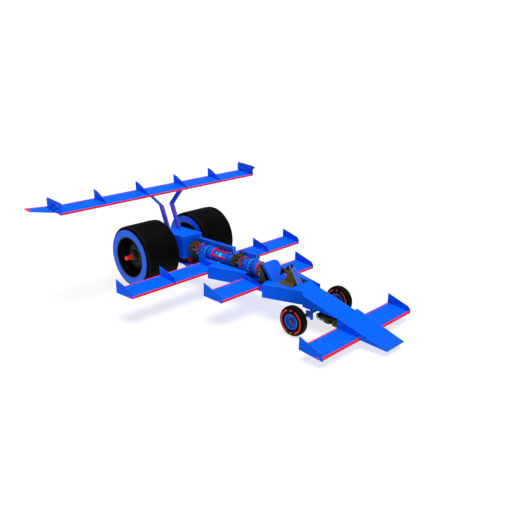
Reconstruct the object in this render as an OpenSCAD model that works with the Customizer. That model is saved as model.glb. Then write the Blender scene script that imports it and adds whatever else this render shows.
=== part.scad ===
// Drag racing car: flat-panelled body, two in-line turbine engines, wings, steered front wheels.
// X points to the nose, Y to the car's left, Z up; the ground is z = 0.

/* [Wheels] */
// distance between the front and rear axles
wheelbase = 4242; // [3900:1:5100]
// rear tyre diameter
rear_tyre_d = 1370; // [1140:1:1650]
// rear tyre width
rear_tyre_w = 883; // [600:1:1060]
// distance between the inner faces of the two rear tyres
rear_gap = 760; // [640:1:950]
// radius of the rear rim
rear_rim_r = 460; // [380:1:480]
// front tyre diameter
front_tyre_d = 576; // [500:1:690]
// front tyre width
front_tyre_w = 158; // [130:1:200]
// distance between the middles of the two front tyres
front_track = 1374; // [1200:1:1650]
// radius of the front rim
front_rim_r = 150; // [130:1:170]
// radius of the rear axle's bare ends
axle_end_r = 48; // [40:1:56]
// length of the rear axle's bare ends
axle_end_len = 100; // [60:1:120]
// radius of the kingpins
kingpin_r = 12; // [9:1:16]
// radius of the front wheels' spindles
spindle_r = 20; // [15:1:24]

/* [Body] */
// height of the floor's underside
floor_z = 430; // [400:1:500]
// thickness of the floor
floor_t = 10; // [6:1:14]
// height of the top of the side walls
deck_z = 700; // [640:1:840]
// thickness of the body panels
panel_t = 12; // [8:1:16]
// half width of the body at the rear pods
rear_pod_half = 518; // [430:1:620]
// half width of the body at the waist between the pods
waist_half = 300; // [280:1:350]
// half width of the body at the cockpit pods
cockpit_half = 515; // [430:1:620]
// half width of the hood
hood_half = 268; // [250:1:310]
// half width of the nose cone at its rear face
nose_half = 308; // [260:1:370]
// length from the front axle to the tip of the nose
nose_reach = 1750; // [1460:1:2100]
// width of the deck's opening over the engines
bay_w = 380; // [372:1:420]
// width of the deck's opening over the cockpit
cockpit_w = 530; // [470:1:600]

/* [Wings] */
// chord of the wings
wing_chord = 500; // [420:1:600]
// rise of each wing from its leading to its trailing edge
wing_rise = 62; // [30:1:90]
// height of the end plates over the trailing edge
plate_rise = 200; // [150:1:260]
// thickness of the end plates and fences
plate_t = 12; // [8:1:18]
// span of the high rear wing, without its winglets
top_wing_span = 5444; // [4400:1:6600]
// height of the high wing's leading edge
top_wing_z = 1915; // [1750:1:2300]
// length of the winglets outside the high wing's end plates
winglet_len = 478; // [300:1:580]
// half span of the low rear wing
low_wing_half = 2436; // [1900:1:2930]
// half span of the mid wing
mid_wing_half = 1350; // [1100:1:1650]
// half span of the front wing
front_wing_half = 1360; // [1130:1:1640]
// chord of the high wing's struts
strut_w = 140; // [100:1:150]
// thickness of the high wing's struts
strut_t = 36; // [24:1:50]

/* [Engines and gearbox] */
// height of the engines' axis
engine_z = 756; // [740:1:800]
// radius of the engines' bolted flange
flange_r = 181; // [165:1:184]
// radius of the engines' casing
case_r = 145; // [130:1:150]
// radius of the tail behind the hot section
tail_r = 125; // [110:1:130]
// radius of the accessory section at the intake end
gear_r = 118; // [100:1:125]
// distance from an engine's intake end to its flange
flange_at = 538; // [500:1:600]
// distance from an engine's intake end to its ring
ring_at = 745; // [715:1:800]
// radius of the red tubes along the tail
tube_r = 14; // [10:1:18]
// half width of the gearbox housing
box_half = 265; // [220:1:300]
// height of the gearbox housing above the rear axle
box_rise = 377; // [320:1:440]
// radius of the hole in the tow tongue
tow_r = 16; // [12:1:20]

/* [Cockpit] */
// half width of the seat
seat_half = 205; // [175:1:235]
// height of the seat back along its slope
seat_back_h = 530; // [500:1:700]
// thickness of the seat shell
seat_t = 22; // [14:1:26]
// how far the seat back leans from upright
seat_lean = 38; // [32:1:42]
// width of the steering wheel
wheel_w = 216; // [180:1:260]
// radius of the steering column's tube
column_r = 24; // [20:1:28]
// radius of the shaft inside the column
column_shaft_r = 14; // [10:1:17]

/* [Hidden] */
$fn = 48;

BLUE = [0.03, 0.32, 0.9];
DARK = [0.2, 0.18, 0.07];
BLACK = [0.03, 0.03, 0.03];
RED = [0.85, 0.03, 0.04];

// running clearance between round faces, and the play of a shaft in its bore
gap = 0.3;
play = 0.1;
// longer than any cut has to be
far = 1500;

rear_r = rear_tyre_d / 2;
front_r = front_tyre_d / 2;
shaft_r = axle_end_r + 4;
// the origin is under the middle of the overall length
rear_x = -(wheelbase + nose_reach - rear_r) / 2;
front_x = rear_x + wheelbase;
nose_x = front_x + nose_reach;
floor_top = floor_z + floor_t;

// the rear stations are set out from the rear axle, the front ones from the front axle
wall_half = 290;
wall_start = 1205;
pod_start = 510;
step_run = 60;
fin_rise = 153;
fin_len = 250;
notch_drop = 183;
x_wall = rear_x + wall_start;
x_pod = x_wall + pod_start;
x_kink = front_x - 147;
x_hood = front_x - 427;
x_cab = front_x - 962;
x_waist = x_cab - 750;
x_seam = front_x + 700;
x_nose = x_seam + 8;
x_firewall = x_cab - 345;
hood_z1 = floor_z - 32;
hood_slope = (deck_z - hood_z1) / (x_seam - x_hood);
hood_dz = (floor_z - hood_z1 + 10) / (x_seam - x_kink);

// half width of the body's outer face, as pairs of station and half width
outline = [[x_wall, wall_half], [x_pod - step_run, wall_half], [x_pod, rear_pod_half],
    [x_waist, waist_half], [x_cab - step_run, waist_half], [x_cab, cockpit_half], [x_kink, hood_half]];

// the wider floor plate under the gearbox
apron_half = 280;
floor_rear = [[rear_x - 60, apron_half], [rear_x + 760, apron_half], [rear_x + 800, 240]];

// wings: trailing edge station and height of each
low_x = x_wall + 6;
low_z = floor_z + 171;
mid_x = x_waist + 9;
mid_z = floor_z + 139;
front_wing_x = x_nose + 1;
front_wing_z = 229;
fence_at = 0.563 * low_wing_half;
wing_lip = 12;
tw_xl = rear_x - 94;
tw_xt = tw_xl - wing_chord - 7;
tw_zt = top_wing_z + wing_rise;

// gearbox and engines
gb_x0 = rear_x - 95;
gb_x1 = rear_x + 672;
gb_z0 = max(rear_r - 130, floor_z + 60);
gb_z1 = rear_r + box_rise;
sump_half = 190;
tongue_t = 24;
tongue_z = rear_r + 123;
tongue_reach = 60;
e1_x = gb_x1 + 18;
e2_x = x_firewall - 910;
stub_r = 40;
tail_gap = 45;
e1_tail = e2_x - e1_x - tail_gap;
e2_tail = ring_at + 95;
collar_t = 20;
collar_x = e1_x + e1_tail - 115;
flange_t = 18;
saddle_t = 40;
saddle_half = 110;
rail_w = 30;
box_w = 110;
box_h = 104;
box_y = 80;

// cockpit
seat_x = x_cab + 10;
seat_rise = 110;
seat_curve = 600;
seat_foot = 70;
seat_base_len = 220;
firewall_half = 222;
firewall_h = 500;
firewall_t = 10;
tilt = 15;
wheel_x = front_x - 833;
wheel_z = deck_z + 184;
ped_x0 = front_x - 682;
ped_x1 = front_x - 442;
ped_top = deck_z + 285;
ped_half = 105;
ped_top_half = 41;
camera_w = 44;
camera_h = 72;
column_in = 250;
column_out = 30;

// front axle and wheels
king_y = front_track / 2 - 97;
wheel_out = front_track / 2 + front_tyre_w / 2;
beam_r = 26;
eye_r = 30;
eye_h = 60;
fork_t = 16;
fork_gap = 72;
hanger_t = 36;
hanger_y = hood_half - 4;
keel_half = 90;
keel_z = front_r + 28;
tray_half = 200;
// boxes under the tray: start ahead of the axle, length, half width and depth
tray_boxes = [[180, 100, 215, 57], [340, 100, 215, 107], [500, 120, 180, 141]];

function mirrored(p) = [for (i = [len(p) - 1:-1:0]) [p[i][0], -p[i][1]]];
function hood_top(x) = deck_z - hood_slope * (x - x_hood);
function hood_bot(x) = floor_z - hood_dz * max(0, x - x_kink);

// inner face of the side wall between the cockpit pod and the kink
function hood_y(x) = cockpit_half - panel_t
    - (cockpit_half - hood_half) * (x - x_cab) / (x_kink - x_cab) - gap;

// an XZ outline given thickness from y0 to y1
module along_y(y0, y1) {
  translate([0, y1, 0])
    rotate([90, 0, 0])
      linear_extrude(height = y1 - y0)
        children();
}

// a YZ outline given thickness from x0 to x1
module along_x(x0, x1) {
  translate([x0, 0, 0])
    rotate([90, 0, 90])
      linear_extrude(height = x1 - x0)
        children();
}

module rod_x(x0, x1, y, z, r) {
  translate([x0, y, z])
    rotate([0, 90, 0])
      cylinder(r = r, h = x1 - x0);
}

module rod_y(x, y0, y1, z, r) {
  translate([x, y0, z])
    rotate([-90, 0, 0])
      cylinder(r = r, h = y1 - y0);
}

module body_plan(z0, z1) {
  translate([0, 0, z0])
    linear_extrude(height = z1 - z0)
      polygon(concat(outline, mirrored(outline)));
}

// the left side's band between the outline moved in by a and by b
module side_band(a, b, z0, z1) {
  outer = [for (p = outline) [p[0], p[1] - a]];
  inner = [for (i = [len(outline) - 1:-1:0]) [outline[i][0], max(0, outline[i][1] - b)]];
  translate([0, 0, z0])
    linear_extrude(height = z1 - z0)
      polygon(concat(outer, inner));
}

// thin cambered wing section with its trailing edge at (xt, zt)
module wing_section(xt, zt, chord) {
  polygon([[xt + chord, zt - wing_rise - 16], [xt + chord, zt - wing_rise + wing_lip],
    [xt + 0.7 * chord, zt - 0.7 * wing_rise + 17], [xt + 0.35 * chord, zt - 0.35 * wing_rise + 15],
    [xt, zt + 9], [xt, zt - 9], [xt + 0.5 * chord, zt - 0.5 * wing_rise - 8]]);
}

// end plate on a wing whose trailing edge is at (xt, zt)
module end_plate(half, xt, zt, shoulder, heel) {
  along_y(half - plate_t, half)
    polygon([[xt - 4, zt + plate_rise], [xt + wing_chord - 50, zt + shoulder],
      [xt + wing_chord, zt + shoulder - 60], [xt + wing_chord + 5, zt + shoulder - 146],
      [xt - 15, zt - heel]]);
}

// one side's wing, cut to the outline given as a child
module side_wing(half, xt, zt, shoulder, heel) {
  difference() {
    along_y(100, half - plate_t)
      wing_section(xt, zt, wing_chord);
    children();
  }
  end_plate(half, xt, zt, shoulder, heel);
}

module mirror_y() {
  mirror([0, 1, 0])
    children();
}

module floor_pan() {
  color(BLUE)
    translate([0, 0, floor_z])
      linear_extrude(height = floor_t)
        polygon(concat(floor_rear, outline, mirrored(concat(floor_rear, outline))));
}

module side_wall_left() {
  color(BLUE)
    side_wall();
}

module side_wall_right() {
  color(BLUE)
    mirror_y()
      side_wall();
}

// the wall and the deck panel inside its top edge
module side_wall() {
  difference() {
    side_band(0, panel_t, floor_top, deck_z);
    wall_notch();
  }
  // the fin above the rear end
  along_y(wall_half - panel_t, wall_half)
    polygon([[x_wall, deck_z - panel_t], [x_wall, deck_z + fin_rise], [x_wall + fin_len, deck_z],
      [x_wall + fin_len, deck_z - panel_t]]);
  difference() {
    side_band(0, far, deck_z - panel_t, deck_z);
    translate([x_wall - 1, -far, floor_z])
      cube([x_firewall - 5 - x_wall + 1, far + bay_w / 2, far]);
    translate([x_firewall - 6, -far, floor_z])
      cube([x_hood - x_firewall + 6, far + cockpit_w / 2, far]);
    translate([x_hood - 1, -far, floor_z])
      cube([far, 2 * far, far]);
    wall_notch();
  }
}

// the wall's top edge falls beside the mid wing, as the wing does
module wall_notch() {
  along_y(-far, far)
    polygon([[mid_x - 5, deck_z + 1], [mid_x - 5, deck_z], [x_cab - step_run, deck_z - notch_drop],
      [x_cab - step_run, deck_z + 1]]);
}

module hood() {
  color(BLUE)
    difference() {
      intersection() {
        along_y(-far, far)
          polygon([[x_hood, deck_z], [x_seam, hood_z1], [x_seam, hood_z1 - 10],
            [x_kink, floor_z], [x_kink, floor_top], [x_hood, floor_top]]);
        linear_extrude(height = 2 * deck_z)
          polygon([[x_hood, hood_y(x_hood)], [x_kink, hood_y(x_kink)], [x_kink, hood_half],
            [x_seam, hood_half], [x_seam, -hood_half], [x_kink, -hood_half],
            [x_kink, -hood_y(x_kink)], [x_hood, -hood_y(x_hood)]]);
      }
      along_y(-far, far)
        polygon([[x_hood - 50, hood_top(x_hood - 50) - panel_t - 1],
          [x_kink, hood_top(x_kink) - panel_t - 1], [x_kink, floor_z - 50],
          [x_hood - 50, floor_z - 50]]);
      along_y(-hood_half + panel_t, hood_half - panel_t)
        polygon([[x_kink - 1, hood_top(x_kink) - panel_t - 1],
          [x_seam - 200, hood_top(x_seam - 200) - panel_t - 1],
          [x_seam - 200, hood_bot(x_seam - 200) + floor_t], [x_kink - 1, floor_top]]);
    }
}

module nose_cone() {
  color(BLUE)
    intersection() {
      along_y(-far, far)
        polygon([[x_nose, floor_z - 5], [nose_x, 112], [nose_x, 100],
          [x_nose + 0.47 * (nose_x - x_nose), 150], [x_nose, 228]]);
      nose_plan();
    }
}

module nose_plan() {
  tip_half = nose_half - 38;
  linear_extrude(height = far)
    polygon([[x_nose, -nose_half], [nose_x, -tip_half], [nose_x, tip_half], [x_nose, nose_half]]);
}

module front_wing_left() {
  color(BLUE)
    front_wing();
}

module front_wing_right() {
  color(BLUE)
    mirror_y()
      front_wing();
}

module front_wing() {
  side_wing(front_wing_half, front_wing_x, front_wing_z, 48, 46)
    nose_plan();
}

module mid_wing_left() {
  color(BLUE)
    mid_wing();
}

module mid_wing_right() {
  color(BLUE)
    mirror_y()
      mid_wing();
}

module mid_wing() {
  side_wing(mid_wing_half, mid_x, mid_z, 58, 69)
    body_plan(0, far);
}

module low_wing_left() {
  color(BLUE)
    low_wing();
}

module low_wing_right() {
  color(BLUE)
    mirror_y()
      low_wing();
}

module low_wing() {
  side_wing(low_wing_half, low_x, low_z, 73, 80)
    body_plan(0, far);
  along_y(fence_at - plate_t / 2, fence_at + plate_t / 2)
    polygon([[low_x, low_z], [low_x, low_z + plate_rise], [low_x + wing_chord - 50, low_z + 73],
      [low_x + wing_chord, low_z + 13], [low_x + wing_chord, low_z - wing_rise - 16]]);
}

module top_wing() {
  half = top_wing_span / 2 - plate_t;
  color(BLUE) {
    along_y(-half, half)
      wing_section(tw_xt, tw_zt, tw_xl - tw_xt);
    for (f = [-0.3, -0.1, 0.1, 0.3])
      translate([0, f * top_wing_span, 0])
        along_y(-plate_t / 2, plate_t / 2)
          polygon([[tw_xt, tw_zt - 9], [tw_xt, tw_zt + plate_rise + 7],
            [tw_xt + 120, tw_zt + plate_rise - 22], [tw_xl - 120, top_wing_z + 95],
            [tw_xl, top_wing_z + wing_lip - 2], [tw_xl, top_wing_z - 14]]);
  }
}

module top_end_plate_left() {
  color(BLUE)
    top_end_plate();
}

module top_end_plate_right() {
  color(BLUE)
    mirror_y()
      top_end_plate();
}

// end plate of the high wing with a tapered winglet on its outer face
module top_end_plate() {
  half = top_wing_span / 2;
  along_y(half - plate_t, half)
    polygon([[tw_xt - 8, tw_zt + plate_rise + 14], [tw_xt - 46, tw_zt + plate_rise - 50],
      [tw_xt - 36, tw_zt - 16], [tw_xl - 30, top_wing_z - 24], [tw_xl + 6, top_wing_z - 10],
      [tw_xl - 4, top_wing_z + 100], [tw_xl + 26, top_wing_z + plate_rise + 28]]);
  translate([tw_xt, half - 1, tw_zt + 4])
    rotate([4, 7, 0])
      translate([0, 0, -8])
        linear_extrude(height = 16)
          polygon([[-60, 0], [380, 0], [120, winglet_len + 1], [-74, winglet_len + 1]]);
}

module wing_strut_left() {
  color(BLUE)
    wing_strut();
}

module wing_strut_right() {
  color(BLUE)
    mirror_y()
      wing_strut();
}

// blade that leans back to a kink, then splays out to the wing's underside
module wing_strut() {
  kink = gb_z1 + 0.645 * (top_wing_z - gb_z1);
  rise = tw_zt - kink;
  foot = rear_x - 65;
  neck = foot - 225;
  y0 = 132;
  y1 = y0 + strut_t;
  difference() {
    union() {
      along_y(y0, y1)
        polygon([[foot, gb_z1], [foot + strut_w, gb_z1], [neck + strut_w, kink], [neck, kink]]);
      along_x(neck, neck + strut_w)
        polygon([[y0, kink], [y1, kink], [y1 + rise, tw_zt], [y0 + rise, tw_zt]]);
    }
    along_y(0, far)
      polygon([[tw_xl, top_wing_z - 16], [(tw_xl + tw_xt) / 2, (top_wing_z + tw_zt) / 2 - 8],
        [tw_xt, tw_zt - 9], [tw_xt, tw_zt + 400], [tw_xl, tw_zt + 400]]);
  }
}

// housing bored for the axle, with a tow tongue on its rear face
module gearbox_housing() {
  color(BLUE)
    difference() {
      union() {
        translate([gb_x0, -box_half, gb_z0])
          cube([gb_x1 - gb_x0, 2 * box_half, gb_z1 - gb_z0]);
        translate([gb_x0 - tongue_reach, -tongue_reach / 2, tongue_z])
          cube([tongue_reach + 1, tongue_reach, tongue_t]);
      }
      rod_y(rear_x, -box_half - 1, box_half + 1, rear_r, shaft_r + gap);
      translate([gb_x0 - tongue_reach / 2, 0, tongue_z - 1])
        cylinder(r = tow_r, h = tongue_t + 2);
    }
}

module gearbox_sump() {
  color(DARK) {
    translate([rear_x + 90, -sump_half, floor_top])
      cube([520, 2 * sump_half, gb_z0 - floor_top]);
    translate([rear_x + 609, -70, floor_top])
      cube([141, 140, 0.75 * (gb_z0 - floor_top)]);
  }
}

// engine turned about its axis; tail is how far the rear part runs
module engine_body(x0, tail) {
  translate([x0, 0, engine_z])
    rotate([0, 90, 0])
      rotate_extrude()
        polygon([[0, 0], [95, 0], [95, 40], [gear_r, 40], [gear_r, 200], [100, 200],
          [100, 225], [case_r, 250], [case_r, flange_at], [flange_r, flange_at],
          [flange_r, flange_at + flange_t], [flange_r - 14, flange_at + flange_t],
          [flange_r - 14, flange_at + 100], [case_r + 3, flange_at + 120],
          [case_r - 5, ring_at - 10], [case_r + 9, ring_at - 8], [case_r + 9, ring_at + 14],
          [tail_r, ring_at + 20], [tail_r, tail - 40], [90, tail], [0, tail]]);
}

module engine_rear() {
  color(BLUE) {
    engine_body(e1_x, e1_tail);
    rod_x(e1_x + e1_tail - 15, e2_x, 0, engine_z, stub_r);
    rod_x(collar_x, collar_x + collar_t, 0, engine_z, case_r + 7);
    rod_x(e1_x + ring_at, collar_x + 10, -25, engine_z + 134, tube_r);
    rod_x(e1_x + ring_at, collar_x + 10, -130, engine_z + 40, tube_r);
  }
}

module engine_front() {
  color(BLUE)
    engine_body(e2_x, e2_tail);
}

// upright plate on the floor, hollowed to carry a round casing
module saddle(x, r) {
  difference() {
    translate([x - saddle_t / 2, -saddle_half, floor_top])
      cube([saddle_t, 2 * saddle_half, engine_z - floor_top - 60]);
    rod_x(x - saddle_t, x + saddle_t, 0, engine_z, r + gap);
  }
}

module engine_cradle() {
  color(DARK) {
    for (x = [e1_x, e2_x])
      saddle(x + 400, case_r);
    saddle(e1_x + (ring_at + e1_tail) / 2, tail_r);
    saddle(e2_x + 100, gear_r);
    for (y = [-saddle_half, saddle_half - rail_w])
      translate([e1_x + 390, y, floor_top])
        cube([e2_x - e1_x + 20, rail_w, 20]);
  }
}

// box on an engine's left flank, on a foot that stands on a casing of radius r
module flank_box(x0, x1, foot, r) {
  difference() {
    union() {
      translate([x0, box_y, engine_z + 126])
        cube([x1 - x0, box_w, box_h]);
      translate([foot, box_y + 5, engine_z + 60])
        cube([40, 40, 70]);
    }
    rod_x(foot - 10, foot + 50, 0, engine_z, r + gap);
  }
}

module engine_rear_boxes() {
  joint = e1_x + flange_at;
  color(BLUE) {
    flank_box(e1_x + 40, joint - 10, e1_x + 300, case_r);
    difference() {
      flank_box(joint + 30, collar_x - 17, e1_x + ring_at + 200, tail_r);
      rod_x(joint + 20, e1_x + ring_at + 40, 0, engine_z, flange_r - 12);
    }
    translate([joint - 30, box_y + box_w + 6, engine_z + 155])
      cube([90, 14, 50]);
    for (x = [joint - 30, joint + 44])
      translate([x, box_y + box_w - 4, engine_z + 155])
        cube([16, 12, 50]);
  }
}

module engine_front_box() {
  color(BLUE)
    flank_box(e2_x + 40, e2_x + flange_at - 10, e2_x + 300, case_r);
}

// bucket shell on a hollowed base
module seat() {
  color(BLUE) {
    translate([seat_x, 0, floor_top + seat_rise])
      rotate([0, -seat_lean, 0])
        intersection() {
          translate([seat_curve, 0, -seat_foot - 20])
            difference() {
              cylinder(r = seat_curve + seat_t, h = seat_back_h + 130, $fn = 120);
              translate([0, 0, -1])
                cylinder(r = seat_curve, h = seat_back_h + 132, $fn = 120);
            }
          translate([-40, 0, -seat_foot])
            rotate([90, 0, 90])
              linear_extrude(height = 150)
                seat_outline();
        }
    difference() {
      translate([seat_x - 60, -seat_half + 8, floor_top])
        cube([seat_base_len, 2 * seat_half - 16, seat_rise]);
      rod_x(seat_x - 61, seat_x + seat_base_len, 0, floor_top + 480, 400);
    }
  }
}

module seat_outline() {
  r = 0.54 * seat_half;
  h = seat_back_h + seat_foot;
  translate([-seat_half, 0])
    square([2 * seat_half, h - r]);
  translate([-seat_half + r, 0])
    square([2 * seat_half - 2 * r, h]);
  for (s = [-1, 1])
    translate([s * (seat_half - r), h - r])
      circle(r = r);
}

module firewall() {
  color(DARK)
    translate([x_firewall, -firewall_half, floor_top])
      cube([firewall_t, 2 * firewall_half, firewall_h]);
}

// tapered pedestal that carries the steering column
module dash_pedestal() {
  color(DARK)
    difference() {
      intersection() {
        along_y(-ped_half, ped_half)
          polygon([[ped_x0, floor_top], [ped_x1, floor_top], [ped_x1, deck_z],
            [ped_x0 + 45, ped_top], [ped_x0 + 15, ped_top], [ped_x0 - 10, deck_z]]);
        along_x(ped_x0 - far, ped_x1 + far)
          polygon([[-ped_half, 0], [ped_half, 0], [ped_half, deck_z], [ped_top_half, ped_top],
            [-ped_top_half, ped_top], [-ped_half, deck_z]]);
      }
      column_place()
        translate([0, 0, -column_in - 10])
          cylinder(r = column_r + gap, h = column_in + 10);
    }
}

module cowl_camera() {
  color(BLACK)
    translate([ped_x0 + 18, -camera_w / 2, ped_top])
      cube([26, camera_w, camera_h]);
}

// frame at the steering wheel's centre, z pointing at the driver
module column_place() {
  translate([wheel_x, 0, wheel_z])
    rotate([0, -90 + tilt, 0])
      children();
}

module steering_column() {
  color(DARK)
    column_place()
      difference() {
        translate([0, 0, -column_in])
          cylinder(r = column_r, h = column_in - column_out);
        translate([0, 0, -column_in + 40])
          cylinder(r = column_shaft_r + play, h = column_in);
      }
}

// butterfly wheel on its shaft
module steering_wheel() {
  grip = 28;
  grip_h = 150;
  bar = 18;
  color(DARK)
    column_place() {
      translate([0, 0, -column_in + 60])
        cylinder(r = column_shaft_r, h = column_in - 60);
      translate([0, 0, -20])
        cylinder(r = 34, h = 40);
      translate([-grip / 2, -wheel_w / 2 + 12, -bar / 2])
        cube([grip, wheel_w - 24, bar]);
      for (s = [-1, 1])
        translate([-grip_h / 2, s * (wheel_w - grip) / 2 - grip / 2, -grip / 2])
          cube([grip_h, grip, grip]);
      translate([-62, -wheel_w / 2 + 20, -bar / 2])
        cube([20, wheel_w - 40, bar]);
    }
}

module front_keel() {
  color(DARK)
    along_y(-keel_half, keel_half)
      polygon([[x_kink + 5, hood_bot(x_kink + 5)], [x_seam, hood_bot(x_seam)],
        [x_nose, hood_bot(x_seam)], [x_nose, keel_z], [x_kink + 5, keel_z]]);
}

module front_equipment() {
  color(DARK) {
    translate([front_x + 140, -tray_half, keel_z - 10])
      cube([520, 2 * tray_half, 10]);
    for (b = tray_boxes)
      translate([front_x + b[0], -b[2], keel_z - 9 - b[3]])
        cube([b[1], 2 * b[2], b[3]]);
  }
}

module front_axle_beam() {
  color(DARK)
    difference() {
      union() {
        rod_y(front_x, -king_y, king_y, front_r, beam_r);
        for (s = [-1, 1])
          translate([front_x, s * king_y, front_r - eye_h / 2])
            cylinder(r = eye_r, h = eye_h);
      }
      for (s = [-1, 1])
        translate([front_x, s * king_y, front_r - eye_h])
          cylinder(r = kingpin_r + play, h = 2 * eye_h);
    }
}

module axle_hanger_left() {
  color(BLUE)
    axle_hanger();
}

module axle_hanger_right() {
  color(BLUE)
    mirror_y()
      axle_hanger();
}

// plate under the hood with a claw round the axle beam
module axle_hanger() {
  difference() {
    along_y(hanger_y - hanger_t, hanger_y)
      polygon([[x_kink + 2, hood_bot(x_kink + 2)], [front_x + 90, hood_bot(front_x + 90)],
        [front_x + 90, front_r - 100], [front_x + 50, front_r - 100],
        [front_x + 50, front_r - 75], [front_x - 60, front_r - 75],
        [front_x - 60, front_r + 55], [front_x + 50, front_r + 55],
        [front_x + 50, floor_z - 50], [x_kink + 2, floor_z - 45]]);
    rod_y(front_x, 0, hood_half + 1, front_r, beam_r + gap);
  }
}

module knuckle_left() {
  color(BLUE)
    knuckle();
}

module knuckle_right() {
  color(BLUE)
    mirror_y()
      knuckle();
}

// fork round the beam's eye, kingpin, steering arm and spindle
module knuckle() {
  fork_half = 32;
  low = -fork_gap / 2 - fork_t;
  high = fork_gap / 2;
  translate([front_x, king_y, front_r]) {
    translate([0, 0, low - 10])
      cylinder(r = kingpin_r, h = fork_gap + 2 * fork_t + 20);
    for (z = [low, high])
      translate([-fork_half, -fork_half, z])
        cube([2 * fork_half, fork_half + 62, fork_t]);
    translate([-fork_half, 42, low])
      cube([2 * fork_half, 20, high - low + fork_t]);
    translate([-130, -fork_half, low])
      cube([100, 24, fork_t]);
    rod_y(0, 60, wheel_out - king_y - 16, 0, spindle_r);
  }
}

module front_wheel_left() {
  color(BLUE)
    front_wheel();
}

module front_wheel_right() {
  color(BLUE)
    mirror_y()
      front_wheel();
}

// dished wheel with a hub nut, turned about the spindle
module front_wheel() {
  w = front_tyre_w / 2 - 4;
  bore = spindle_r + play;
  rim = front_rim_r - 14;
  translate([front_x, front_track / 2, front_r])
    rotate([-90, 0, 0])
      rotate_extrude()
        polygon([[bore, -27], [38, -27], [38, 12], [rim, 12], [rim, -w], [front_rim_r, -w],
          [front_rim_r, w], [rim, w], [rim, 30], [44, 34], [40, 62], [24, 66], [24, w + 12],
          [0, w + 12], [0, w - 6], [bore, w - 6]]);
}

module front_tyre_left() {
  color(BLACK)
    front_tyre();
}

module front_tyre_right() {
  color(BLACK)
    mirror_y()
      front_tyre();
}

module front_tyre() {
  w = front_tyre_w / 2;
  bead = front_rim_r + gap;
  translate([front_x, front_track / 2, front_r])
    rotate([-90, 0, 0])
      rotate_extrude($fn = 72)
        polygon([[bead, -w + 8], [bead + 30, -w], [front_r - 45, -w], [front_r - 16, -w + 10],
          [front_r - 4, -w + 28], [front_r, -w + 50], [front_r, w - 50], [front_r - 4, w - 28],
          [front_r - 16, w - 10], [front_r - 45, w], [bead + 30, w], [bead, w - 8]]);
}

// through shaft with a bare end outside each wheel
module rear_axle() {
  shoulder = rear_gap / 2 + rear_tyre_w - 13;
  tip = shoulder + axle_end_len;
  color(RED) {
    rod_y(rear_x, -shoulder, shoulder, rear_r, shaft_r);
    rod_y(rear_x, -tip, tip, rear_r, axle_end_r);
  }
}

module rear_wheel_left() {
  color(DARK)
    rear_wheel();
}

module rear_wheel_right() {
  color(DARK)
    mirror_y()
      rear_wheel();
}

// wheel turned about its axle; the profile runs outwards from the tyre's inner face
module rear_wheel() {
  w = rear_tyre_w;
  bore = shaft_r + gap;
  hub = 120;
  rim = rear_rim_r - 14;
  barrel = rear_rim_r - 46;
  translate([rear_x, rear_gap / 2, rear_r])
    rotate([-90, 0, 0])
      rotate_extrude($fn = 72)
        polygon([[bore, w - 220], [hub, w - 220], [hub, w - 200], [300, w - 230],
          [barrel - 14, w - 330], [barrel - 14, 120], [rim, 40], [rim, 4], [rear_rim_r, 4],
          [rear_rim_r, w - 4], [rim, w - 4], [rim, w - 40], [barrel, w - 120],
          [barrel, w - 300], [300, w - 200], [hub + 30, w - 170], [hub, w - 140],
          [bore, w - 140]]);
}

module rear_tyre_left() {
  color(BLACK)
    rear_tyre();
}

module rear_tyre_right() {
  color(BLACK)
    mirror_y()
      rear_tyre();
}

module rear_tyre() {
  w = rear_tyre_w;
  r = rear_r;
  bead = rear_rim_r + gap;
  translate([rear_x, rear_gap / 2, rear_r])
    rotate([-90, 0, 0])
      rotate_extrude($fn = 96)
        polygon([[bead, 4], [r - 70, 0], [r - 50, 4], [r - 26, 22], [r - 8, 58], [r, 120],
          [r, w - 120], [r - 8, w - 58], [r - 26, w - 22], [r - 50, w - 4], [r - 70, w],
          [bead, w - 4]]);
}

floor_pan();
side_wall_left();
side_wall_right();
hood();
nose_cone();
front_wing_left();
front_wing_right();
mid_wing_left();
mid_wing_right();
low_wing_left();
low_wing_right();
top_wing();
top_end_plate_left();
top_end_plate_right();
wing_strut_left();
wing_strut_right();
gearbox_housing();
gearbox_sump();
engine_rear();
engine_front();
engine_cradle();
engine_rear_boxes();
engine_front_box();
seat();
firewall();
dash_pedestal();
cowl_camera();
steering_column();
steering_wheel();
front_keel();
front_equipment();
front_axle_beam();
axle_hanger_left();
axle_hanger_right();
knuckle_left();
knuckle_right();
front_wheel_left();
front_wheel_right();
front_tyre_left();
front_tyre_right();
rear_axle();
rear_wheel_left();
rear_wheel_right();
rear_tyre_left();
rear_tyre_right();
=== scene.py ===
import bpy, bmesh, math
from mathutils import Matrix, Vector


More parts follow.
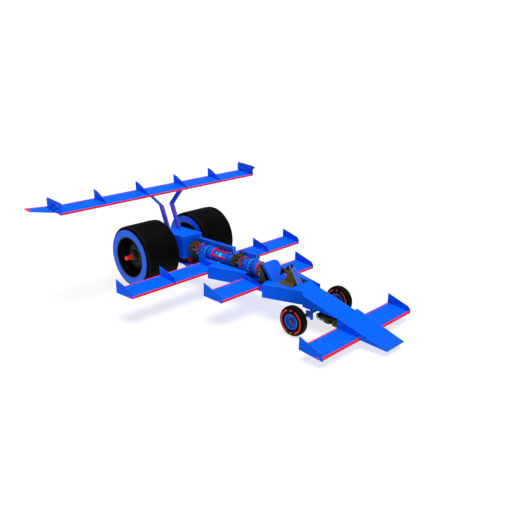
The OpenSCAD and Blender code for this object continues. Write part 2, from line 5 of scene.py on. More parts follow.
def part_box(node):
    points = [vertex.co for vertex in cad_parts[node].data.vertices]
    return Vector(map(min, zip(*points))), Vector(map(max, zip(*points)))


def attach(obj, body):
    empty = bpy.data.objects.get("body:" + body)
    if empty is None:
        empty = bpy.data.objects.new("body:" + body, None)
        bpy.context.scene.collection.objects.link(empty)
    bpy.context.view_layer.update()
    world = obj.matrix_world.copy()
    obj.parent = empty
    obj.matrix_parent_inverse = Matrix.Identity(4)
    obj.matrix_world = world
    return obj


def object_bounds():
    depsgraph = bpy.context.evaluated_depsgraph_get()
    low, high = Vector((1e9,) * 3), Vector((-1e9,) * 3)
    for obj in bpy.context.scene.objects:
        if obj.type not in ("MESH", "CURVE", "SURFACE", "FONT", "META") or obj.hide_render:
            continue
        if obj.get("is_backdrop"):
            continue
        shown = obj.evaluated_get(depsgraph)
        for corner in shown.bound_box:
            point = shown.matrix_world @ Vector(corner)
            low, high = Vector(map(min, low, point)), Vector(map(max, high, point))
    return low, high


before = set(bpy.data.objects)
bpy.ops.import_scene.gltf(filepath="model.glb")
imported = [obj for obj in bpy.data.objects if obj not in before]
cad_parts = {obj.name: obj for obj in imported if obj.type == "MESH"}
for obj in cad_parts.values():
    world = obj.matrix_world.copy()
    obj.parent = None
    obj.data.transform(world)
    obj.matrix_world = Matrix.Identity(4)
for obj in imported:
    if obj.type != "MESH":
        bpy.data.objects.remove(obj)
low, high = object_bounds()

# Studio: a camera high off the car's right front corner, a pale floor, one wide soft light
# overhead, and a sky that is bright at the horizon and dimmer above.
turn, rise, roll = (math.radians(a) for a in (44.0794, 18.3782, -0.3921))
back = Vector((math.sin(turn) * math.cos(rise), -math.cos(turn) * math.cos(rise), math.sin(rise)))
side = (-back).cross(Vector((0, 0, 1))).normalized()
over = side.cross(-back)
x_axis = math.cos(roll) * side + math.sin(roll) * over
y_axis = math.cos(roll) * over - math.sin(roll) * side
stand = Matrix((x_axis, y_axis, back)).transposed().to_4x4()
stand.translation = (8.6572, -8.9644, 5.152)
lens = bpy.data.cameras.new("camera")
lens.lens, lens.sensor_width, lens.clip_end = 45.396, 36, 100
camera = bpy.data.objects.new("camera", lens)
camera.matrix_world = stand
bpy.context.collection.objects.link(camera)
bpy.context.scene.camera = camera

bpy.context.scene.view_settings.view_transform = "Standard"

sky = bpy.data.worlds.new("studio_sky")
sky.use_nodes = True
sky_tree = sky.node_tree
heading = sky_tree.nodes.new("ShaderNodeTexCoord")
height = sky_tree.nodes.new("ShaderNodeSeparateXYZ")
glow = sky_tree.nodes.new("ShaderNodeMapRange")
for socket, value in (("From Min", 0.08), ("From Max", 0.14), ("To Min", 1.05), ("To Max", 0.3)):
    glow.inputs[socket].default_value = value
sky_tree.links.new(heading.outputs["Generated"], height.inputs["Vector"])
sky_tree.links.new(height.outputs["Z"], glow.inputs["Value"])
sky_tree.links.new(glow.outputs["Result"], sky_tree.nodes["Background"].inputs["Strength"])
sky_tree.nodes["Background"].inputs["Color"].default_value = (1, 1, 1, 1)
bpy.context.scene.world = sky

lamp = bpy.data.lights.new("overhead", "SUN")
lamp.energy, lamp.angle = 2.9, math.radians(40)
holder = bpy.data.objects.new("overhead", lamp)
holder.matrix_world = Vector((0.1, 0.06, 1.0)).to_track_quat("Z", "Y").to_matrix().to_4x4()
bpy.context.collection.objects.link(holder)

bm = bmesh.new()
bmesh.ops.create_grid(bm, x_segments=1, y_segments=1, size=60)
floor_mesh = bpy.data.meshes.new("studio_floor")
bm.to_mesh(floor_mesh)
bm.free()
studio_floor = bpy.data.objects.new("studio_floor", floor_mesh)
bpy.context.collection.objects.link(studio_floor)
pale = bpy.data.materials.new("pale_floor")
pale.use_nodes = True
for socket, value in (("Base Color", (0.28, 0.28, 0.28, 1)), ("Roughness", 0.9),
                      ("Emission Color", (1.0, 1.0, 1.0, 1)), ("Emission Strength", 0.72)):
    pale.node_tree.nodes["Principled BSDF"].inputs[socket].default_value = value
floor_mesh.materials.append(pale)
studio_floor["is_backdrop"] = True


# Painted panels: floor, side walls, hood, nose and gearbox housing are folded aluminium
# sheet, sprayed blue. The enamel varies a little, is faintly rippled, and carries fine
# scratches along the car; low down it turns a darker blue, which is painted shade.
def coat(name, light, dark, rough, metal=0.0, ripple=0.02, grain=60.0, shine=0.15, streak=0.0, dust_shade_and_sheen=None,
         dust_shade_and_sheen_top=0.0):
    """A sprayed or cast finish: two tones in broad patches, fine grain in the bump and gloss."""
    material = bpy.data.materials.new(name)
    material.use_nodes = True
    tree = material.node_tree
    shader = tree.nodes["Principled BSDF"]
    shader.inputs["Metallic"].default_value = metal
    shader.inputs["Specular IOR Level"].default_value = shine

    def node(kind, **inputs):
        made = tree.nodes.new(kind)
        for key, value in inputs.items():
            made.inputs[key].default_value = value
        return made

    def wire(source, out, target, into):
        tree.links.new(source.outputs[out], target.inputs[into])

    place = node("ShaderNodeTexCoord")
    patches = node("ShaderNodeTexNoise", Scale=2.3, Detail=4.0, Roughness=0.6)
    wire(place, "Object", patches, "Vector")
    tone = node("ShaderNodeValToRGB")
    for stop, spot, shade in zip(tone.color_ramp.elements, (0.36, 0.66), (dark, light)):
        stop.position, stop.color = spot, (*shade, 1)
    wire(patches, "Fac", tone, "Fac")
    colour, colour_out = tone, "Color"
    fine = node("ShaderNodeTexNoise", Scale=grain, Detail=3.0, Roughness=0.65)
    wire(place, "Object", fine, "Vector")
    if streak:
        run = node("ShaderNodeMapping", Scale=(0.6, 26.0, 26.0))
        wire(place, "Object", run, "Vector")
        lines = node("ShaderNodeTexNoise", Scale=2.0, Detail=5.0, Roughness=0.7)
        wire(run, "Vector", lines, "Vector")
        scratched = node("ShaderNodeValToRGB")
        for stop, spot, depth in zip(scratched.color_ramp.elements, (0.6, 0.78), (0, streak)):
            stop.position, stop.color = spot, (depth, depth, depth, 1)
        wire(lines, "Fac", scratched, "Fac")
        rub = node("ShaderNodeMix")
        rub.data_type = "RGBA"
        wire(scratched, "Color", rub, "Factor")
        wire(colour, colour_out, rub, "A")
        rub.inputs["B"].default_value = (*[min(1.0, 1.25 * c + 0.05) for c in light], 1)
        colour, colour_out = rub, "Result"
    # tint mixed in low down: real dust on the olive castings, painted shade on the blue enamel, a painted
    # sheen on the rubber
    if dust_shade_and_sheen:
        parts = node("ShaderNodeSeparateXYZ")
        wire(place, "Object", parts, "Vector")
        low = node("ShaderNodeMapRange", **{"From Min": dust_shade_and_sheen_top, "From Max": 0.0, "To Min": 0.0,
                                            "To Max": 0.8})
        wire(parts, "Z", low, "Value")
        dust_shade_and_sheen_mask = node("ShaderNodeMath")
        dust_shade_and_sheen_mask.operation = "MULTIPLY"
        wire(low, "Result", dust_shade_and_sheen_mask, 0)
        wire(fine, "Fac", dust_shade_and_sheen_mask, 1)
        dust_shade_and_sheen_mix = node("ShaderNodeMix")
        dust_shade_and_sheen_mix.data_type = "RGBA"
        wire(dust_shade_and_sheen_mask, "Value", dust_shade_and_sheen_mix, "Factor")
        wire(colour, colour_out, dust_shade_and_sheen_mix, "A")
        dust_shade_and_sheen_mix.inputs["B"].default_value = (*dust_shade_and_sheen, 1)
        colour, colour_out = dust_shade_and_sheen_mix, "Result"
    wire(colour, colour_out, shader, "Base Color")
    gloss = node("ShaderNodeMapRange", **{"To Min": rough * 0.75, "To Max": min(1.0, rough * 1.3)})
    wire(fine, "Fac", gloss, "Value")
    wire(gloss, "Result", shader, "Roughness")
    bump = node("ShaderNodeBump", Strength=ripple * 10, Distance=0.002)
    wire(fine, "Fac", bump, "Height")
    wire(bump, "Normal", shader, "Normal")
    return material


def dress(material, *nodes):
    """Gives a finish to CAD nodes; a name ending in * stands for left and right."""
    for name in nodes:
        pair = (name[:-1] + "left", name[:-1] + "right") if name.endswith("*") else (name,)
        for node in pair:
            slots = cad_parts[node].data.materials
            slots.clear()
            slots.append(material)


# the darker blue mixed in below 0.25 m is painted shade near the floor
blue_enamel = coat("blue_enamel", (0.0, 0.128, 1.0), (0.0, 0.112, 0.9), 0.46, ripple=0.01, grain=220,
                   shine=0.03, streak=0.06, dust_shade_and_sheen=(0.02, 0.07, 0.3), dust_shade_and_sheen_top=0.25)
dress(blue_enamel, "floor_pan", "side_wall_*", "hood", "nose_cone", "gearbox_housing", "axle_hanger_*",
      "knuckle_*", "front_wing_*", "mid_wing_*", "low_wing_*", "top_wing", "top_end_plate_*",
      "wing_strut_*")


# Red edging: the front and rear edges of every wing are capped with a folded red strip
# that wraps over the edge and stops short of the end plates.
def place_piece(bm, name, body, material, smooth=None):
    """Turns a mesh into a named piece on its body."""
    bmesh.ops.recalc_face_normals(bm, faces=bm.faces)
    mesh = bpy.data.meshes.new(name)
    bm.to_mesh(mesh)
    bm.free()
    if smooth is not None:
        mesh.shade_smooth()
        mesh.set_sharp_from_angle(angle=math.radians(smooth))
    mesh.materials.append(material)
    piece = bpy.data.objects.new(name, mesh)
    bpy.context.collection.objects.link(piece)
    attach(piece, body)
    return piece


def prism(bm, outline, start, stop, plane="xz", bevel=0.0):
    """A flat outline pulled straight from start to stop, square to its plane."""
    spots = {"xz": lambda a, b: (a, start, b), "yz": lambda a, b: (start, a, b), "xy": lambda a,
             b: (a, b, start)}[plane]
    run = {"xz": (0, 1, 0), "yz": (1, 0, 0), "xy": (0, 0, 1)}[plane]
    face = bm.faces.new([bm.verts.new(spots(a, b)) for a, b in outline])
    pulled = bmesh.ops.extrude_face_region(bm, geom=[face])["geom"]
    bmesh.ops.translate(bm, vec=Vector(run) * (stop - start),
                        verts=[g for g in pulled if isinstance(g, bmesh.types.BMVert)])
    if bevel:
        fresh = {v for g in pulled for v in (g.verts if isinstance(g, bmesh.types.BMFace) else ())}
        edges = {e for v in fresh | set(face.verts) for e in v.link_edges}
        bmesh.ops.bevel(bm, geom=[e for e in bm.edges if e in edges], offset=bevel, affect="EDGES",
                        segments=2, profile=0.5, material=-1)


red_enamel = coat("red_enamel", (1.0, 0.002, 0.006), (0.86, 0.002, 0.006), 0.38, ripple=0.01, grain=180,
                  streak=0.1)
flush_metal = coat("flush_metal", (0.05, 0.12, 0.55), (0.02, 0.05, 0.3), 0.4, metal=0.4, grain=400)

plate_rise, foot_gap, chord, wing_fall, half_plate = 0.2, 0.015, 0.5, 0.062, 0.006
# each wing's half width at the root, at its leading and at its trailing edge
hands = (("left", 1), ("right", -1))
side_wings = {"front": (0.28, 0.3), "mid": (0.301, 0.301), "low": (0.519, 0.291)}
for wing, (lead_root, trail_root) in side_wings.items():
    for hand, sign in hands:
        low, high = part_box(f"{wing}_wing_{hand}")
        tip = (high.y if sign > 0 else -low.y) - 2 * half_plate
        x_lead, x_trail, z_trail = high.x - 0.005, low.x + foot_gap, high.z - plate_rise
        z_lead = z_trail - wing_fall
        bm = bmesh.new()
        for x, z, root, outline in ((x_lead, z_lead, lead_root, ((-0.03, 0.0182), (0.0015, 0.0134),
                                     (0.0015, -0.0174), (-0.022, -0.0142))),
                                    (x_trail, z_trail, trail_root, ((0.024, 0.0082), (-0.0015, 0.0102),
                                     (-0.0015, -0.0102), (0.016, -0.0124)))):
            ends = sorted((sign * root, sign * tip))
            prism(bm, [(x + a, z + b) for a, b in outline], *ends)
        place_piece(bm, f"{wing}_wing_edging_{hand}", "chassis", red_enamel)

low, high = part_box("top_wing")
x_lead, x_trail, z_lead = high.x, low.x, low.z + 0.016
z_trail = z_lead + wing_fall
bm = bmesh.new()
for x, z, outline in ((x_lead, z_lead, ((-0.026, 0.0176), (0.0012, 0.0134), (0.0012, -0.0174),
                                        (-0.022, -0.0142))),
                      (x_trail, z_trail, ((0.022, 0.0084), (-0.0012, 0.0102), (-0.0012, -0.0102),
                                          (0.016, -0.0124)))):
    prism(bm, [(x + a, z + b) for a, b in outline], low.y, high.y)
place_piece(bm, "top_wing_edging", "chassis", red_enamel)


# End plates and fences: flat sheet bonded to a folded foot along each wing. Each plate has
# a rolled upper edge, a row of dome rivets along its foot and two plain slanted red marks.
def rivet_row(bm, start, end, count, outward, radius=0.006):
    """Dome rivets spaced evenly between two points."""
    turn_out = Vector(outward).to_track_quat("Z", "Y").to_matrix().to_4x4()
    for i in range(count):
        spot = Vector(start).lerp(Vector(end), i / max(1, count - 1))
        bmesh.ops.create_cone(bm, cap_ends=True, segments=8, radius1=radius, radius2=radius * 0.55,
                              depth=radius * 0.6, matrix=Matrix.Translation(spot + Vector(outward) * radius
                              * 0.3) @ turn_out)


def block(bm, centre, size, turned_by=Matrix.Identity(4)):
    """A box of a given size, turned about its centre."""
    return bmesh.ops.create_cube(bm, size=1, matrix=Matrix.Translation(centre) @ turned_by
                                 @ Matrix.Diagonal((*size, 1)))["verts"]


def soften(bm, width):
    """Rounds every edge of a piece."""
    bmesh.ops.bevel(bm, geom=bm.edges[:], offset=width, affect="EDGES", segments=2, profile=0.5,
                    material=-1)


def oblong(a0, b0, a1, b1):
    """An outline or profile with square corners."""
    return [(a0, b0), (a1, b0), (a1, b1), (a0, b1)]


def rod(bm, start, end, radius, sides=14, end_radius=None):
    """A straight round bar between two points."""
    start, end = Vector(start), Vector(end)
    bmesh.ops.create_cone(bm, cap_ends=True, segments=sides, radius1=radius,
                          radius2=radius if end_radius is None else end_radius, depth=(end - start).length,
                          matrix=Matrix.Translation((start + end) / 2) @ (end - start).to_track_quat("Z",
                          "Y").to_matrix().to_4x4())


def bolt(bm, spot, reach, radius, sides=6):
    """A bolt head, stud or boss standing on a point."""
    rod(bm, spot, spot + Vector(reach), radius, sides)


plate_enamel = coat("plate_enamel", (0.006, 0.125, 0.85), (0.004, 0.105, 0.72), 0.4, ripple=0.01, grain=220,
                    streak=0.16)
# rise of the plate's shoulder over the trailing edge, for each wing
shoulders = {"front": 0.048, "mid": 0.058, "low": 0.073}
for wing, shoulder in shoulders.items():
    for hand, sign in hands:
        low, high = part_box(f"{wing}_wing_{hand}")
        outer = high.y if sign > 0 else low.y
        x_lead, x_trail, z_trail = high.x - 0.005, low.x + foot_gap, high.z - plate_rise
        bm = bmesh.new()
        edge = [(x_trail - 0.004, high.z - 0.002), (x_lead - 0.05, z_trail + shoulder - 0.002),
                (x_lead - 0.002, z_trail + shoulder - wing_fall)]
        plates = [(outer - sign * 2 * half_plate, outer)]
        if wing == "low":
            middle = 0.563 * abs(outer)
            plates.append((sign * middle - 0.006, sign * middle + 0.006))
        for a, b in plates:
            y = (a + b) / 2
            for p, q in zip(edge, edge[1:]):
                rod(bm, (p[0], y, p[1]), (q[0], y, q[1]), 0.0075, sides=10)
            rivet_row(bm, (x_trail + 0.03, y - sign * 0.006, z_trail + 0.024),
                      (x_lead - 0.04, y - sign * 0.006, z_trail - 0.028), 12, (0, -sign, 0), 0.005)
            rivet_row(bm, (x_trail + 0.03, y + sign * 0.006, z_trail - 0.012),
                      (x_lead - 0.04, y + sign * 0.006, z_trail - 0.055), 12, (0, sign, 0), 0.005)
        place_piece(bm, f"{wing}_wing_plate_trim_{hand}", "chassis", plate_enamel, smooth=40)
        bm = bmesh.new()
        for shift in (0.0, 0.035):
            x, z = x_lead - 0.13 + shift, z_trail - wing_fall
            ends = sorted((outer - sign * 0.002, outer + sign * 0.0012))
            prism(bm, [(x, z - 0.018), (x + 0.016, z - 0.018), (x + 0.036, z + 0.018),
                       (x + 0.02, z + 0.018)], *ends)
        place_piece(bm, f"{wing}_wing_marks_{hand}", "chassis", red_enamel)


# High wing's ends: each end plate carries a bank of small slats inboard and a tapered
# winglet outboard, red along its rear edge and tip.
low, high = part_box("top_wing")
x_lead, x_trail, z_lead = high.x, low.x, low.z + 0.016
z_trail = z_lead + wing_fall
fences = [f * 2 * (high.y + 0.012) for f in (-0.3, -0.1, 0.1, 0.3)]
for hand, sign in hands:
    plate_low, plate_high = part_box(f"top_end_plate_{hand}")
    face = sign * (high.y + 0.012)
    reach = abs(plate_high.y if sign > 0 else plate_low.y)
    tilt = Matrix.Rotation(math.radians(4 * sign), 4, "X") @ Matrix.Rotation(math.radians(7), 4, "Y")
    foot = Matrix.Translation((x_trail, face, z_trail + 0.004)) @ tilt
    span = reach - abs(face)
    bm = bmesh.new()
    prism(bm, [(-0.0615, 0.0), (-0.034, 0.0), (-0.05, sign * span), (-0.0755, sign * span)], -0.0092,
          0.0092, "xy")
    prism(bm, [(-0.0742, sign * (span - 0.045)), (0.146, sign * (span - 0.045)),
               (0.1215, sign * (span + 0.001)), (-0.0755, sign * (span + 0.001))], -0.0092, 0.0092, "xy")
    bmesh.ops.transform(bm, matrix=foot, verts=bm.verts)
    place_piece(bm, f"winglet_edging_{hand}", "chassis", red_enamel)
    bm = bmesh.new()
    for i in range(5):
        x = x_trail + 0.03 + 0.075 * i
        z = z_trail + 0.135 - 0.03 * i
        ends = sorted((face - sign * 0.012, face - sign * 0.055))
        prism(bm, [(x, z), (x + 0.055, z - 0.022), (x + 0.06, z - 0.014), (x + 0.005, z + 0.008)], *ends,
              bevel=0.002)
    for i in range(3):
        x = x_trail + 0.1 + 0.12 * i
        ends = sorted((face, face + sign * 0.05))
        prism(bm, [(x, z_trail + 0.07 - 0.03 * i), (x + 0.07, z_trail + 0.052 - 0.03 * i),
                   (x + 0.07, z_trail + 0.06 - 0.03 * i), (x, z_trail + 0.078 - 0.03 * i)], *ends,
              bevel=0.002)
    place_piece(bm, f"end_plate_slats_{hand}", "chassis", plate_enamel)
    bm = bmesh.new()
    rivet_row(bm, (x_trail + 0.03, face, z_trail - 0.002), (x_lead - 0.05, face, z_lead + 0.004), 12,
              (0, sign, 0), 0.006)
    for i in range(2):
        x = x_lead - 0.15 + 0.035 * i
        ends = sorted((face - sign * 0.002, face + sign * 0.0012))
        prism(bm, [(x, z_lead + 0.03), (x + 0.016, z_lead + 0.03), (x + 0.034, z_lead + 0.062),
                   (x + 0.018, z_lead + 0.062)], *ends)
    prism(bm, [(x_lead - 0.16, z_lead + 0.165), (x_lead - 0.11, z_lead + 0.148),
               (x_lead - 0.085, z_lead + 0.172), (x_lead - 0.135, z_lead + 0.189)],
          *sorted((face + sign * 0.0012, face - sign * 0.0132)))
    place_piece(bm, f"end_plate_marks_{hand}", "chassis", red_enamel)
bm = bmesh.new()
for y in fences:
    edge = [(x_trail, z_trail + 0.207), (x_trail + 0.12, z_trail + 0.178), (x_lead - 0.12, z_lead + 0.095),
            (x_lead - 0.003, z_lead + 0.012)]
    for p, q in zip(edge, edge[1:]):
        rod(bm, (p[0], y, p[1] - 0.002), (q[0], y, q[1] - 0.002), 0.0075, sides=10)
    for s in (-1, 1):
        rivet_row(bm, (x_trail + 0.03, y + s * 0.006, z_trail + 0.022),
                  (x_lead - 0.05, y + s * 0.006, z_lead + 0.036), 12, (0, s, 0), 0.005)
place_piece(bm, "top_wing_fence_trim", "chassis", plate_enamel, smooth=40)


# Struts: folded blades bolted to the gearbox housing, leaning back to a welded kink and
# then splaying out to the wing. A red stripe runs beside the front edge, then beside the
# rear edge of the splayed half, whose underside carries a near-black sheet as painted shade.
# near-black finish, used only as painted shade under the struts
painted_shade_black = coat("painted_shade_black", (0.012, 0.01, 0.006), (0.005, 0.004, 0.003), 0.6, ripple=0.03, grain=120)
housing_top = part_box("gearbox_housing")[1].z
for hand, sign in hands:
    low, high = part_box(f"wing_strut_{hand}")
    inner = 0.132
    kink = housing_top + 0.645 * (z_lead - housing_top)
    x_back, x_front = low.x, high.x
    bm = bmesh.new()
    foot_x, stripe_back, stripe_front = x_front - 0.14, 0.094, 0.128
    prism(bm, [(foot_x + stripe_back, housing_top + 0.002), (foot_x + stripe_front, housing_top + 0.002),
               (x_back + stripe_front, kink), (x_back + stripe_back, kink)],
          *sorted((sign * (inner - 0.0012), sign * (inner + 0.0372))))
    rise = min(high.z, z_lead) - kink - 0.004
    slab = block(bm, (x_back + 0.018, 0, 0), (0.028, 0.0376, 1))
    for v in slab:
        t = v.co.z + 0.5
        v.co.y = sign * (inner + 0.018 + v.co.y + t * rise)
        v.co.z = kink + 0.004 + t * rise
    place_piece(bm, f"strut_stripes_{hand}", "chassis", red_enamel)
    # a thin near-black sheet under the splayed half: painted shade where the underside faces away from the
    # light
    bm = bmesh.new()
    slab = bmesh.ops.create_cube(bm, size=1, matrix=Matrix.Diagonal((0.132, 0.004, 1, 1)))["verts"]
    for v in slab:
        t = v.co.z + 0.5
        v.co.x += x_back + 0.07
        v.co.y = sign * (inner + 0.0365 + v.co.y + t * rise)
        v.co.z = kink + 0.006 + t * rise
    place_piece(bm, f"strut_underside_painted_shade_{hand}", "chassis", painted_shade_black)
    bm = bmesh.new()
    block(bm, (x_front - 0.07, sign * (inner + 0.018), housing_top + 0.004), (0.19, 0.1, 0.008))
    soften(bm, 0.003)
    for dx in (-0.085, 0.0, 0.075):
        for dy in (-0.036, 0.036):
            bmesh.ops.create_cone(bm, cap_ends=True, segments=6, radius1=0.008, radius2=0.008, depth=0.012,
                                  matrix=Matrix.Translation((x_front - 0.066 + dx,
                                                             sign * (inner + 0.018 + dy),
                                                             housing_top + 0.013)))
    place_piece(bm, f"strut_shoe_{hand}", "chassis", plate_enamel, smooth=35)


# Gearbox housing: a plated box. Its seams are covered by bolted straps, and a round cover
# closes each side over the axle bore. The sump below it carries a red filter and black pipes.
low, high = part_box("gearbox_housing")
low = Vector((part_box("rear_axle")[0].x + 0.052 - 0.095, low.y, low.z))
bm = bmesh.new()
for x, y in ((high.x + 0.0015, low.y + 0.05), (high.x + 0.0015, high.y - 0.05)):
    prism(bm, oblong(y - 0.003, low.z + 0.01, y + 0.003, high.z - 0.01), x - 0.003, x, "yz")
for y in (low.y + 0.025, high.y - 0.025):
    rivet_row(bm, (high.x, y, low.z + 0.03), (high.x, y, high.z - 0.03), 14, (1, 0, 0), 0.006)
for y, out in ((low.y, -1), (high.y, 1)):
    for x in (low.x + 0.03, high.x - 0.03):
        rivet_row(bm, (x, y, low.z + 0.03), (x, y, high.z - 0.03), 14, (0, out, 0), 0.006)
    for z in (low.z + 0.03, high.z - 0.03):
        rivet_row(bm, (low.x + 0.08, y, z), (high.x - 0.08, y, z), 16, (0, out, 0), 0.006)
for x in (low.x + 0.03, high.x - 0.03):
    rivet_row(bm, (x, low.y + 0.03, high.z), (x, high.y - 0.03, high.z), 14, (0, 0, 1), 0.006)
place_piece(bm, "housing_bolts", "chassis", flush_metal)
axle_low, axle_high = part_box("rear_axle")
axle = (axle_low + axle_high) / 2
bm = bmesh.new()
for out in (-1, 1):
    for start, stop, radius in ((0.265, 0.277, 0.125), (0.277, 0.286, 0.1), (0.286, 0.291, 0.082)):
        rod(bm, (axle.x, out * start, axle.z), (axle.x, out * stop, axle.z), radius, sides=48)
    for i in range(12):
        angle = math.radians(30 * i)
        spot = Vector((axle.x + 0.112 * math.cos(angle), out * 0.277, axle.z + 0.112 * math.sin(angle)))
        rod(bm, spot, spot + Vector((0, out * 0.007, 0)), 0.006, sides=6)
place_piece(bm, "housing_bearing_covers", "chassis", plate_enamel, smooth=35)

dark_red = coat("dark_red", (0.56, 0.003, 0.003), (0.36, 0.002, 0.002), 0.35, ripple=0.01, grain=160)
olive_metal = coat("olive_metal", (0.105, 0.085, 0.006), (0.04, 0.032, 0.004), 0.5, metal=0.15, ripple=0.05,
                   grain=110, shine=0.3, dust_shade_and_sheen=(0.1, 0.09, 0.05), dust_shade_and_sheen_top=0.3)
black_hose = coat("black_hose", (0.012, 0.012, 0.01), (0.005, 0.005, 0.004), 0.5, ripple=0.04, grain=260)
dress(olive_metal, "gearbox_sump", "engine_cradle", "firewall", "steering_column", "front_keel",
      "front_equipment", "front_axle_beam", "dash_pedestal")
sump_low, sump_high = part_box("gearbox_sump")
bm = bmesh.new()
filter_at = (sump_high.x - 0.04, -0.13)
rod(bm, (*filter_at, sump_low.z + 0.005), (*filter_at, sump_low.z + 0.125), 0.052, 28)
rod(bm, (*filter_at, sump_low.z + 0.125), (*filter_at, sump_low.z + 0.135), 0.052, 28, end_radius=0.036)
for i in range(14):
    angle = math.radians(360 / 14 * i)
    spot = Vector((sump_high.x - 0.04 + 0.0525 * math.cos(angle), -0.13 + 0.0525 * math.sin(angle),
                   sump_low.z))
    rod(bm, spot + Vector((0, 0, 0.075)), spot + Vector((0, 0, 0.122)), 0.0035, 6)
place_piece(bm, "sump_filter", "chassis", dark_red, smooth=40)
bm = bmesh.new()
fin_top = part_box("gearbox_housing")[0].z - 0.004
for i in range(7):
    x = sump_low.x + 0.04 + 0.073 * i
    for out in (-1, 1):
        prism(bm, oblong(out * 0.188, sump_low.z + 0.004, out * 0.2, fin_top), x, x + 0.014, "yz",
              bevel=0.002)
place_piece(bm, "sump_fins", "chassis", olive_metal)


def pipe(name, runs, radius, body, material, resolution=4):
    """Bent tubes of one bore, each a smooth run through its points."""
    curve = bpy.data.curves.new(name, "CURVE")
    curve.dimensions, curve.bevel_depth, curve.bevel_resolution = "3D", radius, 2
    curve.resolution_u, curve.use_fill_caps = resolution, True
    for points in runs:
        spline = curve.splines.new("BEZIER")
        spline.bezier_points.add(len(points) - 1)
        for knot, point in zip(spline.bezier_points, points):
            knot.co = point
            knot.handle_left_type = knot.handle_right_type = "AUTO"
    curve.materials.append(material)
    piece = bpy.data.objects.new(name, curve)
    bpy.context.collection.objects.link(piece)
    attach(piece, body)
    return piece


pipe("sump_pipes", [
    [(sump_high.x - 0.02, -0.05, sump_low.z + 0.08), (sump_high.x + 0.05, -0.09, sump_low.z + 0.06),
     (sump_high.x + 0.02, -0.16, sump_low.z + 0.03), (sump_low.x + 0.3, -0.225, sump_low.z + 0.02),
     (sump_low.x + 0.02, -0.225, sump_low.z + 0.03), (sump_low.x - 0.04, -0.15, sump_low.z + 0.1)],
    [(sump_high.x - 0.02, 0.05, sump_low.z + 0.08), (sump_high.x + 0.04, 0.1, sump_low.z + 0.05),
     (sump_low.x + 0.3, 0.225, sump_low.z + 0.02), (sump_low.x + 0.02, 0.225, sump_low.z + 0.03),
     (sump_low.x - 0.04, 0.15, sump_low.z + 0.1)]], 0.011, "chassis", black_hose)


# Engines: two identical turboshaft units in line. Round the intake sit olive cast accessory
# drives; the blue case carries red pipes, a bolted flange with teal studs, a slotted hot
# section and a red clamp ring. The rear unit's long tail has cyan windows and red rails.
def join(bm, part):
    """Adds a finished part to a piece."""
    mesh = bpy.data.meshes.new("part")
    part.to_mesh(mesh)
    part.free()
    bm.from_mesh(mesh)
    bpy.data.meshes.remove(mesh)


def turned(bm, profile, centre, toward, sides=48):
    """A closed profile of (radius, distance) points spun about an axis through centre."""
    part = bmesh.new()
    ring = [part.verts.new((r, 0, z)) for r, z in profile]
    edges = [part.edges.new((a, b)) for a, b in zip(ring, ring[1:] + ring[:1])
             if not (abs(a.co.x) < 1e-6 and abs(b.co.x) < 1e-6)]
    bmesh.ops.spin(part, geom=ring + edges, cent=(0, 0, 0), axis=(0, 0, 1), angle=math.tau, steps=sides,
                   use_merge=True)
    bmesh.ops.remove_doubles(part, verts=part.verts[:], dist=1e-5)
    part.transform(Matrix.Translation(centre) @ Vector(toward).to_track_quat("Z", "X").to_matrix().to_4x4())
    join(bm, part)


def bar(cuts):
    """A unit cube cut across its x, ready to be bent."""
    part = bmesh.new()
    bmesh.ops.create_cube(part, size=1)
    along = [e for e in part.edges if abs(e.verts[0].co.x - e.verts[1].co.x) > 0.5]
    bmesh.ops.subdivide_edges(part, edges=along, cuts=cuts)
    return part


def wrap(bm, centre, x0, x1, radius, thick, a0, a1, cuts=6):
    """A plate bent round the engine's axis, from angle a0 to a1, measured from the top to the right."""
    part = bar(cuts)
    for v in part.verts:
        angle = math.radians(a0 + (v.co.x + 0.5) * (a1 - a0))
        reach = radius + (v.co.z + 0.5) * thick
        v.co = Vector((x0 + (v.co.y + 0.5) * (x1 - x0), -reach * math.sin(angle),
                       reach * math.cos(angle))) + centre
    join(bm, part)


teal_stud = coat("teal_stud", (0.08, 1.0, 0.72), (0.03, 0.72, 0.6), 0.3, grain=300, shine=0.4)
cyan_glaze = coat("cyan_glaze", (0.0, 0.72, 1.0), (0.0, 0.58, 0.95), 0.3, grain=300, shine=0.3)
engine_enamel = coat("engine_enamel", (0.0, 0.14, 1.0), (0.0, 0.075, 0.62), 0.38, ripple=0.02, grain=140,
                     shine=0.1, streak=0.12)
scorched = coat("scorched", (0.035, 0.022, 0.006), (0.012, 0.008, 0.004), 0.6, metal=0.3, ripple=0.04,
                grain=160)
dress(engine_enamel, "engine_rear", "engine_front", "engine_rear_boxes", "engine_front_box")
engine_z = (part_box("engine_front")[0].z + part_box("engine_front")[1].z) / 2
